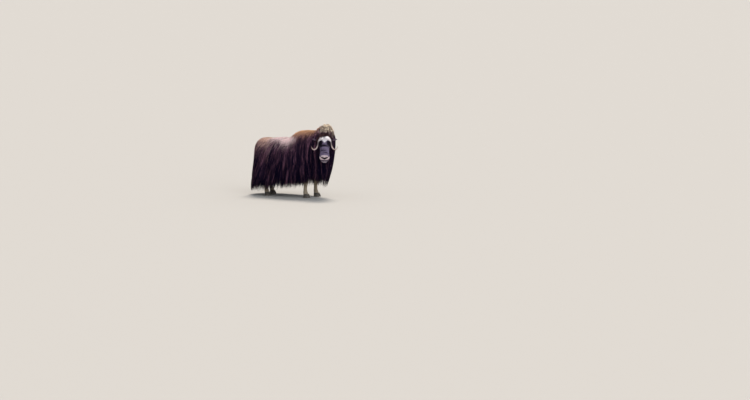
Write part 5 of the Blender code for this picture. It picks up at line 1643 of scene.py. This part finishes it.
def make_eye(word, side, material):
    """An eyeball whose cornea bulges a little."""
    obj = ball(f"eye_{word}_ball", (0, 0, 0), (1, 1, 1), 48, 32)
    look, nose, up = gaze_axes(side)
    points = coordinates(obj.data)
    bulge = 1.0 + 0.045 * ease((points[:, 2:] - 0.72) / 0.28)
    local = (points * bulge * EYE_RADIUS) @ np.stack([nose, up, look]) + mirrored(EYE_AT, side)
    set_coordinates(obj.data, from_head(local) + SHIFT)
    point_attribute(obj.data, "look", points, "FLOAT_VECTOR", "vector")
    tidy(obj, 1e-7)
    smooth(obj.data)
    obj.data.materials.append(material)
    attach(obj, "root")
    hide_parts(f"eye_{word}")


def hoof_material():
    """Hoof: dark keratin, worn grey, with growth rings level with the sole."""
    material, tree, shader = new_material("hoof_keratin")
    place = add(tree, "ShaderNodeTexCoord").outputs["Object"]
    # rings about 6 mm apart down the wall
    squash = add(tree, "ShaderNodeMapping", {"Vector": place, "Scale": (14.0, 14.0, 170.0)}).outputs[0]
    rings = add(tree, "ShaderNodeTexNoise", {"Vector": squash, "Scale": 1.0, "Detail": 4.0}).outputs[0]
    grit = add(tree, "ShaderNodeTexNoise", {"Vector": place, "Scale": 260.0, "Detail": 4.0}).outputs[0]
    height = add(tree, "ShaderNodeSeparateXYZ", {"Vector": place}).outputs[2]
    dust = add(tree, "ShaderNodeMapRange", remap(height, 0.0, 0.035, 0.55, 0.10)).outputs[0]
    worn = add(tree, "ShaderNodeMath", {0: dust, 1: grit}, operation="MULTIPLY").outputs[0]
    colour = linear("#17130f")
    for mask, code in ((rings, "#4b433b"), (worn, "#8b8071")):
        colour = add(tree, "ShaderNodeMix", {0: mask, 6: colour, 7: linear(code)}, **MIX).outputs[2]
    dent = add(tree, "ShaderNodeBump", {"Height": rings, "Strength": 0.6, "Distance": 0.0015})
    plug(tree, shader, {"Base Color": colour, "Roughness": 0.50, "Normal": dent.outputs[0]})
    return material


# height in a hoof, its share of the full outline and how far back it is there
HOOF_WALL = np.array([
    (0.0, 0.94, 0.0), (0.008, 1.0, 0.0), (0.035, 0.93, -0.006), (HOOF_TOP + 0.008, 0.70, -0.016),
])
HOOF_LEVELS = (
    0.0, 0.002, 0.005, 0.009, 0.015, 0.022, 0.030, 0.038, 0.046, 0.054, 0.062, 0.069, 0.0755,
)


def make_hoof(node, foot, scale, material):
    """A broad cloven hoof: two toes with flat soles, joined under the coronet."""
    x, y = foot
    turn = around(40)
    front = np.cos(turn)
    pieces = []
    for toe in (1, -1):
        rings = []
        for z in HOOF_LEVELS:
            grow, back = [float(np.interp(z, HOOF_WALL[:, 0], HOOF_WALL[:, k])) for k in (1, 2)]
            grow -= 0.05 * max(0.002 - z, 0) / 0.002
            length = np.where(front > 0, 0.0675, 0.0515) * grow * scale
            inward = toe * 0.006 * np.maximum(front, 0)
            across = toe * (0.034 * scale) + np.sin(turn) * 0.0305 * grow * scale - inward
            rings.append(columns(x + 0.006 + back + front * length, y + across, z))
        pieces.append(loft("toe", rings))
    heel = (0.0335 * scale, 0.0455 * scale, 0.0315)
    pieces.append(ball("heel", (x - 0.022 * scale, y, 0.040), heel))
    hoof = combine(pieces[0], "UNION", pieces[1:])
    mesh = hoof.data
    hoof.name = mesh.name = f"{node}_keratin"
    set_coordinates(mesh, coordinates(mesh) + SHIFT)
    mesh.materials.clear()
    mesh.materials.append(material)
    smooth(mesh)
    mesh.set_sharp_from_angle(angle=math.radians(50))
    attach(hoof, "root")
    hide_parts(node)


# ---------------------------------------------------------------- the whole animal
FLESH = (
    "torso_left", "torso_right", "neck", "head", "tail", "ear_left", "ear_right",
    "foreleg_left", "foreleg_right", "hindleg_left", "hindleg_right",
)
HAIR_MAKERS = (
    make_ridge, make_face_hair, make_chin_hair, make_cheeks, make_ear_hair, make_leg_hair,
    make_belly_hair,
)
# leg, its hoof, its path, and the hoof's size for a forehoof's
LEGS = (("foreleg", "forehoof", FORELEG, 1.0), ("hindleg", "hindhoof", HINDLEG, 0.90))


def make_animal():
    skin = make_skin()
    skin_faces = faces_of(skin.data)
    paint_skin(skin)
    set_coordinates(skin.data, coordinates(skin.data) + SHIFT)
    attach(skin, "root")
    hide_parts(*FLESH)
    pieces = make_coat() + make_mane() + make_crown(skin_faces)
    for piece in pieces + [make(skin_faces) for make in HAIR_MAKERS]:
        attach(piece, "root")
    horn, eye, hoof = horn_material(), eye_material(), hoof_material()
    for side, word in ((1, "left"), (-1, "right")):
        make_horn(word, side, horn)
        make_eye(word, side, eye)
        for leg, foot, rows, scale in LEGS:
            place = (rows[-1, 0] + STRIDE[f"{leg}_{word}"] + 0.006, rows[-1, 1] * side)
            make_hoof(f"{foot}_{word}", place, scale, hoof)


# ---------------------------------------------------------------- stage
IMAGE = (750, 400)  # pixels
METRES_PER_PIXEL = 0.0195
ORIGIN_PIXEL = (294, 196)  # where the body frame's origin stands in the image
AZIMUTH, ELEVATION = math.radians(30), math.radians(6)
LENS, SENSOR = 300.0, 36.0  # millimetres
FLOOR_REACH = 240.0


def turned_to(obj, way):
    """Turns a camera or light to face a way."""
    obj.rotation_mode = "QUATERNION"
    obj.rotation_quaternion = way.to_track_quat("-Z", "Y")
    bpy.context.scene.collection.objects.link(obj)


def make_camera():
    level = math.cos(ELEVATION)
    back = Vector((math.sin(AZIMUTH) * level, -math.cos(AZIMUTH) * level, math.sin(ELEVATION)))
    right = Vector((math.cos(AZIMUTH), math.sin(AZIMUTH), 0.0))
    aim = Vector(SHIFT)
    aim += right * (IMAGE[0] / 2 - ORIGIN_PIXEL[0]) * METRES_PER_PIXEL
    aim -= back.cross(right) * (IMAGE[1] / 2 - ORIGIN_PIXEL[1]) * METRES_PER_PIXEL
    data = bpy.data.cameras.new("camera")
    data.lens, data.sensor_width = LENS, SENSOR
    data.clip_start, data.clip_end = 1.0, 500.0
    camera = bpy.data.objects.new("camera", data)
    camera.location = aim + back * (METRES_PER_PIXEL * IMAGE[0] * LENS / SENSOR)
    turned_to(camera, -back)
    bpy.context.scene.camera = camera


def make_light(name, place, strength, softness, colour):
    """A far light that shines from place towards the animal; softness is its width in degrees."""
    data = bpy.data.lights.new(name, "SUN")
    data.energy, data.angle, data.color = strength, math.radians(softness), colour
    light = bpy.data.objects.new(name, data)
    light.location = place
    turned_to(light, -Vector(place))


def make_stage():
    material, tree, shader = new_material("pale_floor")
    plug(tree, shader, {"Base Color": linear("#b4b1ab"), "Roughness": 0.9})
    corners = np.array([(-1, -1, 0), (1, -1, 0), (1, 1, 0), (-1, 1, 0)]) * FLOOR_REACH
    floor = link("floor", mesh_of("floor", corners, [(0, 1, 2, 3)]))
    floor.data.materials.append(material)
    world = bpy.data.worlds.new("studio")
    world.use_nodes = True
    sky = world.node_tree
    plug(sky, sky.nodes["Background"], {"Color": linear("#e8ecf4"), "Strength": 0.62})
    bpy.context.scene.world = world
    bpy.context.scene.view_settings.view_transform = "Standard"
    make_light("key", (-1.0, 4.0, 9.0), strength=3.2, softness=24.0, colour=(1.0, 0.92, 0.84))
    make_light("fill", (8.0, -5.5, 4.5), strength=1.25, softness=50.0, colour=(0.92, 0.95, 1.0))


make_camera()
make_stage()
make_animal()
